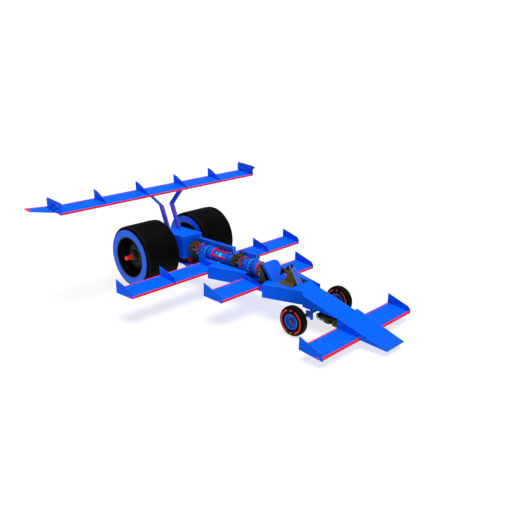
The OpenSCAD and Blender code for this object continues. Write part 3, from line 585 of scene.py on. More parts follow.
# accessory drives round the intake: angle, start, end, distance from the axis, radius
drives = ((8, 0.03, 0.2, 0.15, 0.026), (24, 0.01, 0.16, 0.158, 0.022), (40, 0.02, 0.21, 0.148, 0.024),
          (58, 0.01, 0.12, 0.156, 0.03), (76, 0.03, 0.19, 0.15, 0.024), (94, 0.01, 0.15, 0.156, 0.026),
          (112, 0.04, 0.2, 0.148, 0.022), (-14, 0.02, 0.18, 0.152, 0.025), (-40, 0.03, 0.2, 0.148, 0.025),
          (-66, 0.01, 0.15, 0.154, 0.028), (-92, 0.03, 0.2, 0.148, 0.024), (-118, 0.02, 0.17, 0.15, 0.026),
          (140, 0.02, 0.16, 0.146, 0.024), (168, 0.03, 0.19, 0.146, 0.024),
          (-146, 0.02, 0.18, 0.146, 0.024))
upper_drive = 24
for unit in ("rear", "front"):
    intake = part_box(f"engine_{unit}")[0].x
    centre = Vector((intake, 0, engine_z))

    def on_case(x, angle, radius):
        angle = math.radians(angle)
        return centre + Vector((x, -radius * math.sin(angle), radius * math.cos(angle)))

    def case_pipes(name, runs, radius, material):
        pipe(f"{unit}_engine_{name}", [[on_case(*spot) for spot in run] for run in runs], radius, "chassis",
             material)

    bm = bmesh.new()
    turned(bm, [(0.1, 0.004), (0.132, 0.01), (0.132, 0.03), (0.124, 0.036), (0.1, 0.036)], centre,
           (1, 0, 0), 40)
    turned(bm, oblong(0.11, 0.19, 0.128, 0.222), centre, (1, 0, 0), 40)
    for angle, x0, x1, radius, bore in drives:
        if angle == upper_drive and unit == "front":
            x0 = -0.01
        rod(bm, on_case(x0 + 0.01, angle, radius), on_case(x1 - 0.01, angle, radius), bore, 18)
        rod(bm, on_case(x1 - 0.011, angle, radius), on_case(x1, angle, radius), bore, 18,
            end_radius=bore * 0.7)
        rod(bm, on_case(x0 + 0.011, angle, radius), on_case(x0, angle, radius), bore, 18,
            end_radius=bore * 0.7)
        rod(bm, on_case(x0 + 0.4 * (x1 - x0), angle, 0.1), on_case(x0 + 0.4 * (x1 - x0), angle,
            radius + bore + 0.012), bore * 0.62, 12)
        rod(bm, on_case(x0 + 0.72 * (x1 - x0), angle, 0.1), on_case(x0 + 0.72 * (x1 - x0), angle, radius),
            bore * 0.9, 12)
        for step in range(3):
            x = x0 + 0.03 + step * (x1 - x0 - 0.06) / 2
            rod(bm, on_case(x - 0.003, angle, radius), on_case(x + 0.003, angle, radius), bore * 1.14, 18)
    place_piece(bm, f"{unit}_engine_accessories", "chassis", olive_metal, smooth=40)

    case_pipes("red_pipes", [
        [(0.245, 8, 0.15), (0.25, 14, 0.176), (0.275, 26, 0.18), (0.315, 31, 0.172),
         (0.345, 22, 0.176), (0.375, 12, 0.178), (0.415, 8, 0.172), (0.43, 8, 0.14)],
        [(0.225, 46, 0.12), (0.235, 48, 0.165), (0.262, 60, 0.176), (0.3, 58, 0.174),
         (0.318, 70, 0.17), (0.335, 84, 0.166), (0.35, 88, 0.138)],
        [(0.245, -30, 0.15), (0.255, -38, 0.172), (0.32, -52, 0.172), (0.38, -40, 0.172),
         (0.42, -34, 0.14)],
        [(0.235, -92, 0.12), (0.25, -95, 0.168), (0.33, -108, 0.168), (0.4, -98, 0.165),
         (0.42, -98, 0.138)]], 0.015, dark_red)
    case_pipes("blue_lines", [
        [(0.235, 30, 0.15), (0.3, 44, 0.158), (0.4, 46, 0.156), (0.5, 40, 0.156),
         (0.525, 38, 0.15)],
        [(0.235, 104, 0.135), (0.32, 112, 0.156), (0.42, 104, 0.156), (0.525, 108, 0.15)],
        [(0.255, 140, 0.15), (0.38, 150, 0.158), (0.5, 136, 0.156)],
        [(0.255, -70, 0.15), (0.38, -76, 0.158), (0.5, -70, 0.156)]],
         0.006, plate_enamel)

    bm = bmesh.new()
    for x, angle, size in ((0.365, 70, 0.03), (0.285, 44, 0.016), (0.33, -64, 0.03)):
        spot = on_case(x, angle, 0.16)
        block(bm, spot, (size * 1.5, size * 1.7, 0.042), Matrix.Rotation(math.radians(angle), 4, "X"))
    soften(bm, 0.004)
    for x, angle in ((0.353, 66), (0.377, 66), (0.353, 75), (0.377, 75)):
        rod(bm, on_case(x, angle, 0.178), on_case(x, angle, 0.186), 0.005, 6)
    place_piece(bm, f"{unit}_engine_relay_boxes", "chassis", olive_metal, smooth=40)

    bm = bmesh.new()
    for i in range(30):
        angle = 12 * i + 6
        rod(bm, on_case(0.524, angle, 0.168), on_case(0.538, angle, 0.168), 0.0088, 6)
        rod(bm, on_case(0.555, angle, 0.1745), on_case(0.563, angle, 0.1745), 0.0052, 6)
        rod(bm, on_case(0.538, angle, 0.1805), on_case(0.556, angle, 0.1805), 0.004, 6)
    place_piece(bm, f"{unit}_engine_flange_studs", "chassis", teal_stud)

    bm = bmesh.new()
    for i in range(14):
        for shift in (-6.5, 1.5):
            angle = 360 / 14 * i + shift
            wrap(bm, centre, 0.572, 0.632, 0.1655, 0.0045, angle, angle + 5.2, cuts=1)
    wrap(bm, centre, 0.665, 0.69, 0.1402, 0.003, 0, 359.9, cuts=40)
    place_piece(bm, f"{unit}_engine_slots", "chassis", scorched)

    bm = bmesh.new()
    turned(bm, [(0.15, 0.732), (0.156, 0.731), (0.159, 0.735), (0.159, 0.76), (0.156, 0.764),
                (0.15, 0.763)], centre, (1, 0, 0), 64)
    for angle in (60, 180, 300):
        wrap(bm, centre, 0.737, 0.759, 0.157, 0.012, angle, angle + 9, cuts=2)
    place_piece(bm, f"{unit}_engine_clamp_ring", "chassis", red_enamel, smooth=40)

    bm = bmesh.new()
    for x in (0.268, 0.44, 0.505):
        turned(bm, oblong(0.143, x, 0.1485, x + 0.014), centre, (1, 0, 0), 56)
        for angle in (50, 170, 290):
            rod(bm, on_case(x + 0.007, angle - 5, 0.154), on_case(x + 0.007, angle + 5, 0.154), 0.006, 10)
    for i in range(24):
        rod(bm, on_case(0.462, 15 * i, 0.142), on_case(0.462, 15 * i, 0.151), 0.0055, 6)
    for i in range(18):
        angle = 20 * i
        wrap(bm, centre, 0.655, 0.7, 0.141, 0.006, angle, angle + 3, cuts=1)
    place_piece(bm, f"{unit}_engine_bands", "chassis", plate_enamel, smooth=35)

    bm = bmesh.new()
    for x, angle in ((0.345, 2), (0.23, 74), (0.3, 96), (0.235, -20), (0.4, -88), (0.42, 60)):
        rod(bm, on_case(x, angle, 0.12), on_case(x, angle, 0.172), 0.012, 6)
        rod(bm, on_case(x, angle, 0.172), on_case(x, angle, 0.18), 0.008, 12)
    if unit == "rear":
        for x0, x1, a0, a1 in ((0.82, 0.868, 30, 52), (0.915, 1.01, 32, 78), (0.93, 1.01, 106, 140),
                               (0.86, 0.935, -60, -24), (0.96, 1.03, -110, -70), (0.85, 0.9, 108, 124)):
            wrap(bm, centre, x0, x1, 0.1252, 0.0022, a0, a1)
    place_piece(bm, f"{unit}_engine_cyan_fittings", "chassis", cyan_glaze, smooth=35)

# rails, end nuts and bands on the rear unit's tail, and the outlet studs of the front unit
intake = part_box("engine_rear")[0].x
centre = Vector((intake, 0, engine_z))
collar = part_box("engine_front")[0].x - intake - 0.045 - 0.115
bm = bmesh.new()
for y, z in ((-0.025, 0.134), (-0.13, 0.04)):
    rod(bm, centre + Vector((0.752, y, z)), centre + Vector((collar + 0.004, y, z)), 0.0195, 20)
    for i in range(5):
        x = 0.8 + i * (collar - 0.85) / 4
        rod(bm, centre + Vector((x, y, z)), centre + Vector((x + 0.012, y, z)), 0.0215, 20)
place_piece(bm, "tail_red_rails", "chassis", red_enamel, smooth=40)
bm = bmesh.new()
for y, z in ((-0.025, 0.134), (-0.13, 0.04)):
    rod(bm, centre + Vector((collar - 0.03, y, z)), centre + Vector((collar + 0.03, y, z)), 0.025, 6)
for i in range(16):
    angle = math.radians(22.5 * i)
    bolt(bm, centre + Vector((collar + 0.019, 0.14 * math.sin(angle), 0.14 * math.cos(angle))),
         (0.01, 0, 0), 0.007)
rod(bm, centre + Vector((0.79, -0.115, -0.075)), centre + Vector((0.79, -0.155, -0.105)), 0.016, 12)
rod(bm, centre + Vector((0.87, -0.11, -0.055)), centre + Vector((0.87, -0.15, -0.075)), 0.013, 12)
place_piece(bm, "tail_nuts", "chassis", olive_metal, smooth=35)
bm = bmesh.new()
for x in (0.895, 1.03, 1.075, 1.215, 1.235):
    turned(bm, oblong(0.123, x, 0.1285, x + 0.01), centre, (1, 0, 0), 56)
for a in range(0, 360, 30):
    wrap(bm, centre, 0.775, 0.8, 0.1245, 0.006, a, a + 6, cuts=1)
place_piece(bm, "tail_bands", "chassis", plate_enamel, smooth=35)
outlet = Vector((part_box("engine_front")[0].x, 0, engine_z))
bm = bmesh.new()
for i in range(12):
    angle = math.radians(30 * i + 8)
    bolt(bm, outlet + Vector((0.768, 0.118 * math.sin(angle), 0.118 * math.cos(angle))), (0.05, 0, 0), 0.011)
for i in range(5):
    angle = math.radians(28 * i + 20)
    bolt(bm, outlet + Vector((0.8, -0.128 * math.sin(angle), 0.128 * math.cos(angle))),
             (0.03, -0.03 * math.sin(angle), 0.03 * math.cos(angle)), 0.012, 8)
place_piece(bm, "outlet_studs", "chassis", teal_stud)
bm = bmesh.new()
turned(bm, [(0.05, 0.836), (0.11, 0.836), (0.132, 0.79), (0.132, 0.766), (0.1385, 0.766), (0.1385, 0.796),
            (0.112, 0.846), (0.05, 0.846)], outlet, (1, 0, 0), 40)
place_piece(bm, "outlet_cone", "chassis", olive_metal, smooth=40)


# Flank boxes: folded control boxes on the engines' left. Each has a lid with a rolled rim, a
# row of brown screws along its top edge, ribs on its side and teal bolts in its end.
bm, screws, ends = bmesh.new(), bmesh.new(), bmesh.new()
boxes_low, boxes_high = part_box("engine_rear_boxes")
front_low, front_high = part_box("engine_front_box")
first = intake + 0.538
for x0, x1 in ((boxes_low.x, first - 0.01), (first + 0.03, boxes_high.x), (front_low.x, front_high.x)):
    top, y0, y1 = front_high.z, 0.08, 0.19
    for y in (y0 + 0.004, y1 - 0.004):
        rod(bm, (x0 + 0.004, y, top - 0.002), (x1 - 0.004, y, top - 0.002), 0.0055, 8)
        count = max(6, int((x1 - x0) / 0.035))
        rivet_row(screws, (x0 + 0.015, y + (0.012 if y < 0.1 else -0.012), top),
                  (x1 - 0.015, y + (0.012 if y < 0.1 else -0.012), top), count, (0, 0, 1), 0.0065)
    rivet_row(screws, (x0 + 0.02, y0, top - 0.018), (x1 - 0.02, y0, top - 0.018),
              max(5, int((x1 - x0) / 0.06)), (0, -1, 0), 0.0065)
    for i in range(max(3, int((x1 - x0) / 0.08))):
        x = x0 + 0.03 + 0.08 * i
        prism(bm, oblong(y0 - 0.004, top - 0.095, y0 + 0.002, top - 0.03), x, x + 0.03, "yz")
        prism(bm, oblong(y0 + 0.03, top - 0.001, y0 + 0.08, top + 0.004), x, x + 0.05, "yz")
    prism(bm, oblong(y0 + 0.004, top - 0.1, y1 - 0.004, top - 0.006), x1 - 0.001, x1 + 0.006, "yz")
    for y in (y0 + 0.02, y1 - 0.02):
        for z in (top - 0.022, top - 0.052, top - 0.084):
            rod(ends, (x1 + 0.006, y, z), (x1 + 0.016, y, z), 0.0095, 6)
place_piece(bm, "flank_box_lids", "chassis", plate_enamel, smooth=35)
place_piece(screws, "flank_box_screws", "chassis", scorched)
place_piece(ends, "flank_box_end_bolts", "chassis", teal_stud)
bm = bmesh.new()
for x in (first + 0.3, first + 0.4, front_low.x + 0.1):
    block(bm, (x, 0.068, front_high.z - 0.045), (0.062, 0.026, 0.056))
soften(bm, 0.005)
place_piece(bm, "flank_box_relays", "chassis", olive_metal, smooth=40)
pipe("flank_box_links", [
    [(first - 0.03, 0.135, front_high.z - 0.03), (first + 0.0, 0.1, front_high.z + 0.004),
     (first + 0.04, 0.13, front_high.z - 0.02)],
    [(first - 0.012, 0.16, front_high.z - 0.06), (first + 0.01, 0.175, front_high.z - 0.03),
     (first + 0.032, 0.16, front_high.z - 0.06)]], 0.009, "chassis", plate_enamel)


# Rear wheels: black slicks with a blue band vulcanised on each sidewall. The spun dish is
# near black, with a bolted bead ring, ten ribs, dark teal hub rings and a drum behind; the
# solid red axle runs right through.
# the lighter brown tint mixed in low on the tyres is a painted sheen, a reflection of the floor
rubber = coat("rubber", (0.003, 0.003, 0.003), (0.0016, 0.0016, 0.0014), 0.55, ripple=0.03, grain=130,
              shine=0.03, dust_shade_and_sheen=(0.05, 0.045, 0.035), dust_shade_and_sheen_top=0.1)
# brown rubber for rings and ribs; on the rear tyre shoulders its brown is a painted highlight
brown_rubber_and_highlight = coat("brown_rubber_and_highlight", (0.03, 0.018, 0.006), (0.014, 0.009, 0.003), 0.5, ripple=0.03,
                    grain=130, shine=0.1)
band_blue = coat("band_blue", (0.004, 0.15, 0.98), (0.002, 0.12, 0.86), 0.45, ripple=0.02, grain=260,
                 streak=0.15)
dark_dish = coat("dark_dish", (0.012, 0.01, 0.004), (0.004, 0.003, 0.001), 0.3, metal=0.5, ripple=0.02,
                 grain=90, shine=0.25)
teal_iron = coat("teal_iron", (0.008, 0.03, 0.03), (0.004, 0.014, 0.015), 0.35, metal=0.4, ripple=0.03,
                 grain=120, shine=0.3)
axle_red = coat("axle_red", (1.0, 0.03, 0.008), (0.88, 0.012, 0.004), 0.32, ripple=0.01, grain=200,
                shine=0.3, streak=0.15)
dress(rubber, "rear_tyre_*", "front_tyre_*")
dress(dark_dish, "rear_wheel_*")
dress(axle_red, "rear_axle")


def around(centre, side, distance, angle, radius):
    """A point beside a wheel: distance out from the car's middle, angle from the top."""
    angle = math.radians(angle)
    return Vector((centre.x + radius * math.sin(angle), side * distance, centre.z + radius
                   * math.cos(angle)))


for hand, side in hands:
    out = (0, side, 0)
    hub = Vector((axle.x, 0, axle.z))

    def at(distance, angle, radius):
        return around(hub, side, distance, angle, radius)

    bm = bmesh.new()
    for a, b in ((1.262, 1.2648), (0.3785, 0.381)):
        lip = 0.0008 if a > 1 else -0.0008
        turned(bm, [(0.4635, a), (0.612, a), (0.612, b - abs(lip)), (0.608, b), (0.4675, b),
                    (0.4635, b - abs(lip))] if a > 1 else [(0.4635, b), (0.612, b), (0.612, a + abs(lip)),
                                                           (0.608, a), (0.4675, a), (0.4635, a + abs(lip))],
               hub, out, 128)
    place_piece(bm, f"rear_sidewall_band_{hand}", "rear_axle", band_blue, smooth=35)

    bm = bmesh.new()
    # raised rings round each rear tyre shoulder; their brown colour is a painted highlight along the
    # shoulder's curve
    for a in (1.2155, 0.4275):
        turned(bm, [(0.67, a - 0.006), (0.6785, a - 0.004), (0.68, a), (0.6785, a + 0.004),
                    (0.67, a + 0.006)], hub, out, 128)
    for a in (1.263, 0.38):
        step = 0.0012 if a > 1 else -0.0012
        for r in (0.6155, 0.46):
            turned(bm, oblong(r, a - 0.003, r + 0.003, a + step), hub, out, 96)
    place_piece(bm, f"rear_tyre_rings_{hand}", "rear_axle", brown_rubber_and_highlight, smooth=35)

    bm = bmesh.new()
    turned(bm, [(0.404, 1.15), (0.413, 1.15), (0.445, 1.226), (0.445, 1.259), (0.459, 1.259),
                (0.459, 1.264), (0.44, 1.264), (0.434, 1.258), (0.434, 1.23)], hub, out, 96)
    turned(bm, [(0.4135, 1.0), (0.4135, 1.02), (0.402, 1.022), (0.398, 1.01), (0.402, 1.0)], hub, out, 96)
    turned(bm, [(0.35, 1.01), (0.35, 1.045), (0.335, 1.052), (0.32, 1.05), (0.32, 1.02)], hub, out, 80)
    turned(bm, [(0.262, 1.06), (0.262, 1.08), (0.25, 1.088), (0.236, 1.084), (0.236, 1.06)], hub, out, 80)
    for i in range(32):
        bolt(bm, at(1.264, 11.25 * i, 0.4495), (0, side * 0.005, 0), 0.0065)
    for i in range(10):
        rod(bm, at(1.092, 36 * i + 10, 0.16), at(0.978, 36 * i + 10, 0.395), 0.018, 12, end_radius=0.011)
        rod(bm, at(0.955, 36 * i + 28, 0.3), at(0.955, 36 * i + 28, 0.398), 0.01, 8)
    turned(bm, oblong(0.06, 0.88, 0.3, 0.905), hub, out, 80)
    turned(bm, [(0.4465, 0.385), (0.459, 0.383), (0.459, 0.389), (0.4465, 0.41)], hub, out, 96)
    place_piece(bm, f"rear_dish_rings_{hand}", "rear_axle", dark_dish, smooth=40)

    bm = bmesh.new()
    turned(bm, [(0.153, 1.09), (0.2, 1.084), (0.206, 1.092), (0.2, 1.102), (0.156, 1.11)], hub, out, 64)
    turned(bm, [(0.1, 1.122), (0.1195, 1.122), (0.1195, 1.14), (0.112, 1.15), (0.1, 1.15)], hub, out, 64)
    turned(bm, [(0.0535, 1.122), (0.082, 1.122), (0.082, 1.166), (0.074, 1.174), (0.0535, 1.174)], hub, out,
           48)
    for i in range(10):
        bolt(bm, at(1.122, 36 * i, 0.0915), (0, side * 0.04, 0), 0.0085)
        bolt(bm, at(1.1, 36 * i + 18, 0.178), (0, side * 0.016, 0), 0.01)
    for i in range(5):
        rod(bm, at(1.15, 72 * i, 0.08), at(1.108, 72 * i, 0.16), 0.014, 10, end_radius=0.01)
    turned(bm, [(0.06, 0.905), (0.15, 0.905), (0.13, 0.935), (0.06, 0.94)], hub, out, 48)
    turned(bm, oblong(0.06, 0.86, 0.11, 0.88), hub, out, 48)
    for i in range(24):
        rod(bm, at(0.8785, 15 * i, 0.265), at(0.883, 15 * i, 0.265), 0.012, 12)
    place_piece(bm, f"rear_hub_{hand}", "rear_axle", teal_iron, smooth=40)


# Front wheels: narrow treaded tyres with two red arcs and two plain red blocks on each
# sidewall, on blue stepped rims with spokes and a dark hub. They turn on the knuckles.
rim_blue = coat("rim_blue", (0.01, 0.15, 0.9), (0.004, 0.09, 0.62), 0.3, metal=0.2, ripple=0.01, grain=200,
                shine=0.35, streak=0.1)
sidewall_red = coat("sidewall_red", (0.92, 0.045, 0.02), (0.8, 0.03, 0.014), 0.55, ripple=0.02, grain=300)
dress(rim_blue, "front_wheel_*")


def arc_plate(bm, centre, side, distance, thick, r0, r1, a0, a1, cuts):
    """A flat curved bar lying on a wheel's face between two radii and two angles."""
    part = bar(cuts)
    for v in part.verts:
        v.co = around(centre, side, distance + v.co.z * thick, a0 + (v.co.x + 0.5) * (a1 - a0),
                      r0 + (v.co.y + 0.5) * (r1 - r0))
    join(bm, part)


for hand, side in hands:
    low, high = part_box(f"front_tyre_{hand}")
    hub = Vector(((low.x + high.x) / 2, 0, (low.z + high.z) / 2))
    face = max(abs(low.y), abs(high.y))
    back = min(abs(low.y), abs(high.y))
    middle = (face + back) / 2
    out = (0, side, 0)
    body = f"front_wheel_{hand}"

    def inward(profile):
        return [(radius, middle + distance) for radius, distance in profile]

    bm = bmesh.new()
    for distance in (face + 0.0004, back - 0.0004):
        for a0, a1 in ((24, 156), (204, 336)):
            arc_plate(bm, hub, side, distance, 0.0022, 0.213, 0.24, a0, a1, 44)
        for a in (0, 180):
            arc_plate(bm, hub, side, distance, 0.002, 0.205, 0.235, a - 6, a + 6, 6)
    place_piece(bm, f"front_tyre_red_marks_{hand}", body, sidewall_red, smooth=35)

    bm = bmesh.new()
    for radius in (0.1835, 0.2455):
        for distance in (face, back):
            step = 0.0013 if distance > middle else -0.0013
            turned(bm, oblong(radius, distance - 0.002, radius + 0.003, distance + step), hub, out, 72)
    for shift in (-0.034, 0.0, 0.034):
        turned(bm, [(0.28, middle + shift - 0.006), (0.2879, middle + shift - 0.0045),
                    (0.2879, middle + shift + 0.0045), (0.28, middle + shift + 0.006)], hub, out, 96)
    place_piece(bm, f"front_tyre_ribs_{hand}", body, brown_rubber_and_highlight, smooth=35)

    bm = bmesh.new()
    turned(bm, [(0.1365, middle + 0.03), (0.1365, face - 0.004), (0.1495, face - 0.0035),
                (0.1495, face - 0.0005), (0.135, face - 0.0005), (0.13, face - 0.012),
                (0.124, middle + 0.04), (0.124, middle + 0.03)], hub, out, 72)
    turned(bm, inward([(0.098, 0.031), (0.115, 0.031), (0.113, 0.042), (0.1, 0.042)]), hub, out, 72)
    turned(bm, inward([(0.062, 0.032), (0.076, 0.032), (0.074, 0.044), (0.064, 0.044)]), hub, out, 60)
    for i in range(12):
        rod(bm, at(middle + 0.046, 30 * i, 0.044), at(middle + 0.036, 30 * i, 0.128), 0.0068, 10,
            end_radius=0.0052)
    for i in range(24):
        bolt(bm, at(face - 0.002, 15 * i, 0.1422), (0, side * 0.003, 0), 0.0028)
    for distance in (back + 0.01, back + 0.03):
        turned(bm, [(0.124, distance), (0.1365, distance - 0.004), (0.1365, distance + 0.008),
                    (0.124, distance + 0.004)], hub, out, 72)
    place_piece(bm, f"front_rim_details_{hand}", body, rim_blue, smooth=40)

    bm = bmesh.new()
    rod(bm, at(middle + 0.0665, 0, 0), at(middle + 0.082, 0, 0), 0.027, 6)
    for i in range(6):
        bolt(bm, at(middle + 0.034, 60 * i + 12, 0.052), (0, side * 0.016, 0), 0.0085)
        rod(bm, at(middle + 0.062, 60 * i + 12, 0.026), at(middle + 0.046, 60 * i + 12, 0.05), 0.005, 8)
    turned(bm, inward([(0.025, 0.067), (0.04, 0.0635), (0.045, 0.034), (0.05, 0.034), (0.0475, 0.058),
                       (0.043, 0.069), (0.033, 0.074), (0.033, 0.086), (0.025, 0.086)]), hub, out, 40)
    rod(bm, at(middle + 0.0872, 0, 0), at(middle + 0.09, 0, 0), 0.02, 6)
    for i in range(5):
        rod(bm, at(middle + 0.036, 72 * i, 0.056), at(middle + 0.056, 72 * i, 0.056), 0.0125, 12,
            end_radius=0.009)
    turned(bm, oblong(0.04, back + 0.048, 0.118, back + 0.04), hub, out, 60)
    place_piece(bm, f"front_hub_{hand}", body, olive_metal, smooth=40)


# Knuckles and hangers: blue machined blocks on the ends of a drop beam, with bolted faces
# and a red grease fitting. A stop plate is bolted on each hanger's outer side.
front_axle = Vector((hub.x, 0, hub.z))
for hand, side in hands:
    low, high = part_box(f"knuckle_{hand}")
    mid_z = (low.z + high.z) / 2
    near = min(abs(low.y), abs(high.y))
    king = Vector((front_axle.x, side * (near + 0.032), mid_z))
    bm = bmesh.new()
    for z in (-0.056, 0.053):
        for x in (-0.022, 0.022):
            rod(bm, king + Vector((x, side * 0.052, z)), king + Vector((x, side * 0.052, z + 0.006)), 0.007,
                6)
    for x in (-0.018, 0.018):
        for z in (-0.03, 0.0, 0.03):
            rod(bm, king + Vector((x, side * 0.06, z)), king + Vector((x, side * 0.067, z)), 0.006, 6)
    place_piece(bm, f"knuckle_bolts_{hand}", f"knuckle_{hand}", flush_metal)
    bm = bmesh.new()
    block(bm, king + Vector((-0.01, side * 0.02, 0.064)), (0.05, 0.052, 0.018))
    soften(bm, 0.004)
    rod(bm, king + Vector((-0.12, -side * 0.018, -0.052)), king + Vector((-0.12, -side * 0.018, -0.03)),
        0.01, 12)
    place_piece(bm, f"knuckle_red_fitting_{hand}", f"knuckle_{hand}", red_enamel, smooth=40)

    low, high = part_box(f"axle_hanger_{hand}")
    outer = max(abs(low.y), abs(high.y))
    bm = bmesh.new()
    z0, z1 = low.z + 0.002, low.z + 0.15
    plate = [(front_axle.x - 0.052, z0 + 0.034), (front_axle.x + 0.04, z0 + 0.03),
             (front_axle.x + 0.052, z0 + 0.004), (front_axle.x + 0.084, z0 + 0.004),
             (front_axle.x + 0.084, z1 + 0.1), (front_axle.x + 0.056, z1 + 0.1),
             (front_axle.x + 0.044, z1 + 0.004), (front_axle.x - 0.052, z1)]
    prism(bm, plate, *sorted((side * (outer - 0.001), side * (outer + 0.01))), bevel=0.003)
    for x, z in ((-0.04, 0.05), (-0.04, 0.13), (0.066, 0.03), (0.066, 0.11), (0.066, 0.19), (0.066, 0.23)):
        rod(bm, (front_axle.x + x, side * (outer + 0.01), low.z + z),
            (front_axle.x + x, side * (outer + 0.017), low.z + z), 0.008, 6)
    turned(bm, [(0.027, outer - 0.002), (0.042, outer - 0.002), (0.042, outer + 0.016),
                (0.036, outer + 0.02), (0.027, outer + 0.02)], front_axle, (0, side, 0), 40)
    place_piece(bm, f"hanger_plate_{hand}", "chassis", rim_blue, smooth=40)
    bm = bmesh.new()
    for z in (0.07, 0.09):
        turned(bm, oblong(0.0265, outer + z, 0.034, outer + z + 0.012), front_axle, (0, side, 0), 32)
    place_piece(bm, f"beam_collars_{hand}", "chassis", olive_metal, smooth=40)


# Equipment under the hood: olive cast boxes on a tray, each ribbed, lidded and bolted, with
# small canisters, round plugs and black looms between them.
bm = bmesh.new()
low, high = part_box("front_equipment")
steps = ((0.18, 0.1, 0.215, 0.057), (0.34, 0.1, 0.215, 0.107), (0.5, 0.12, 0.18, 0.141))
for ahead, length, half, depth in steps:
    x0, top = front_axle.x + ahead, high.z - 0.009
    for i in range(9):
        y = -half + 0.02 + i * (2 * half - 0.04) / 8
        prism(bm, oblong(x0 - 0.005, top - depth + 0.006, x0 + length + 0.005, top - 0.006), y - 0.004,
              y + 0.004)
    for side in (-1, 1):
        prism(bm, oblong(x0 + 0.012, top - depth + 0.012, x0 + length - 0.012, top - 0.014),
              *sorted((side * (half - 0.001), side * (half + 0.007))), bevel=0.002)
        for x in (x0 + 0.022, x0 + length - 0.022):
            for z in (top - depth + 0.02, top - 0.022):
                rod(bm, (x, side * (half + 0.006), z), (x, side * (half + 0.012), z), 0.006, 6)
        rod(bm, (x0 + length / 2, side * (half + 0.004), top - depth / 2),
            (x0 + length / 2, side * (half + 0.022), top - depth / 2), 0.014, 16)
    for y in (-0.6 * half, -0.2 * half, 0.25 * half, 0.65 * half):
        rod(bm, (x0 + length - 0.002, y, top - depth * 0.55), (x0 + length + 0.026, y, top - depth * 0.55),
            0.015, 16)
        rod(bm, (x0 + length + 0.026, y, top - depth * 0.55), (x0 + length + 0.034, y, top - depth * 0.55),
            0.009, 12)
for x, y, radius, drop in ((0.155, -0.16, 0.022, 0.05), (0.155, 0.14, 0.022, 0.05),
                           (0.312, -0.185, 0.018, 0.07), (0.312, -0.12, 0.018, 0.09),
                           (0.312, 0.17, 0.02, 0.08), (0.47, -0.15, 0.022, 0.12), (0.47, 0.15, 0.022, 0.11),
                           (0.47, -0.09, 0.016, 0.1)):
    rod(bm, (front_axle.x + x, y, high.z - 0.006), (front_axle.x + x, y, high.z - 0.006 - drop), radius, 20)
    rod(bm, (front_axle.x + x, y, high.z - 0.006 - drop), (front_axle.x + x, y, high.z - 0.012 - drop),
        radius, 20, end_radius=radius * 0.6)
place_piece(bm, "front_equipment_castings", "chassis", olive_metal, smooth=40)
looms = []
for side in (-1, 1):
    for reach, dip in ((0.205, 0.075), (0.19, 0.045), (0.12, 0.105)):
        looms.append([(front_axle.x + 0.12, side * reach * 0.8, high.z - 0.02),
                      (front_axle.x + 0.16, side * reach, high.z - dip),
                      (front_axle.x + 0.3, side * (reach + 0.012), high.z - dip - 0.01),
                      (front_axle.x + 0.46, side * reach, high.z - dip - 0.03),
                      (front_axle.x + 0.49, side * reach * 0.7, high.z - 0.04)])
pipe("equipment_looms", looms, 0.0065, "chassis", black_hose)


# Seat: a moulded blue bucket leaning well back. Its rolled rim, side bolsters and scooped
# base are one shell, with a low ridge down the middle of its back that catches the light.
seat_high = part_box("seat")[1]
seat_shell = coat("seat_shell", (0.008, 0.15, 1.0), (0.0, 0.11, 0.92), 0.3, ripple=0.008, grain=120,
                  shine=0.15)
dress(seat_shell, "seat")
lean = math.radians(38)
hinge = Vector((seat_high.x - 0.16, 0, 0.55))
up = Vector((-math.sin(lean), 0, math.cos(lean)))
forward = Vector((math.cos(lean), 0, math.sin(lean)))
bm = bmesh.new()
rows, across = 30, 24
grid = []
for i in range(rows + 1):
    s = -0.02 + 0.545 * i / rows
    trim = 0.205 if s < 0.435 else 0.115 + math.sqrt(max(0.0, 0.09 ** 2 - (s - 0.435) ** 2))
    trim -= 0.018 * math.exp(-((s - 0.2) / 0.1) ** 2)
    row = []
    for j in range(across + 1):
        y = trim * (2 * j / across - 1)
        curl = 0.6 - math.sqrt(0.36 - y * y) + 0.016 * (abs(y) / 0.205) ** 6 + 0.012
        curl += 0.01 * math.exp(-(y / 0.05) ** 2) * math.exp(-((s - 0.3) / 0.2) ** 2)
        row.append(bm.verts.new(hinge + up * s + forward * curl + Vector((0, y, 0))))
    grid.append(row)
for i in range(rows):
    for j in range(across):
        bm.faces.new((grid[i][j], grid[i][j + 1], grid[i + 1][j + 1], grid[i + 1][j]))
shell = place_piece(bm, "seat_lining", "chassis", seat_shell, smooth=60)
thick = shell.modifiers.new("skin", "SOLIDIFY")
thick.thickness, thick.offset = 0.01, 0.0
rolled = shell.modifiers.new("rolled", "BEVEL")
rolled.width, rolled.segments, rolled.limit_method = 0.004, 2, "ANGLE"
bm = bmesh.new()
for out in (-1, 1):
    prism(bm, [(seat_high.x - 0.215, 0.47), (seat_high.x - 0.004, 0.47), (seat_high.x - 0.004, 0.548),
               (seat_high.x - 0.03, 0.572), (seat_high.x - 0.12, 0.585), (seat_high.x - 0.2, 0.64)],
          *sorted((out * 0.165, out * 0.2)), bevel=0.008)
    for x in (seat_high.x - 0.17, seat_high.x - 0.06):
        rod(bm, (x, out * 0.197, 0.5), (x, out * 0.206, 0.5), 0.01, 6)
prism(bm, [(seat_high.x - 0.13, 0.52), (seat_high.x - 0.004, 0.52), (seat_high.x - 0.004, 0.536),
           (seat_high.x - 0.02, 0.541), (seat_high.x - 0.11, 0.538)], -0.15, 0.15, bevel=0.006)
place_piece(bm, "seat_bolsters", "chassis", seat_shell, smooth=40)


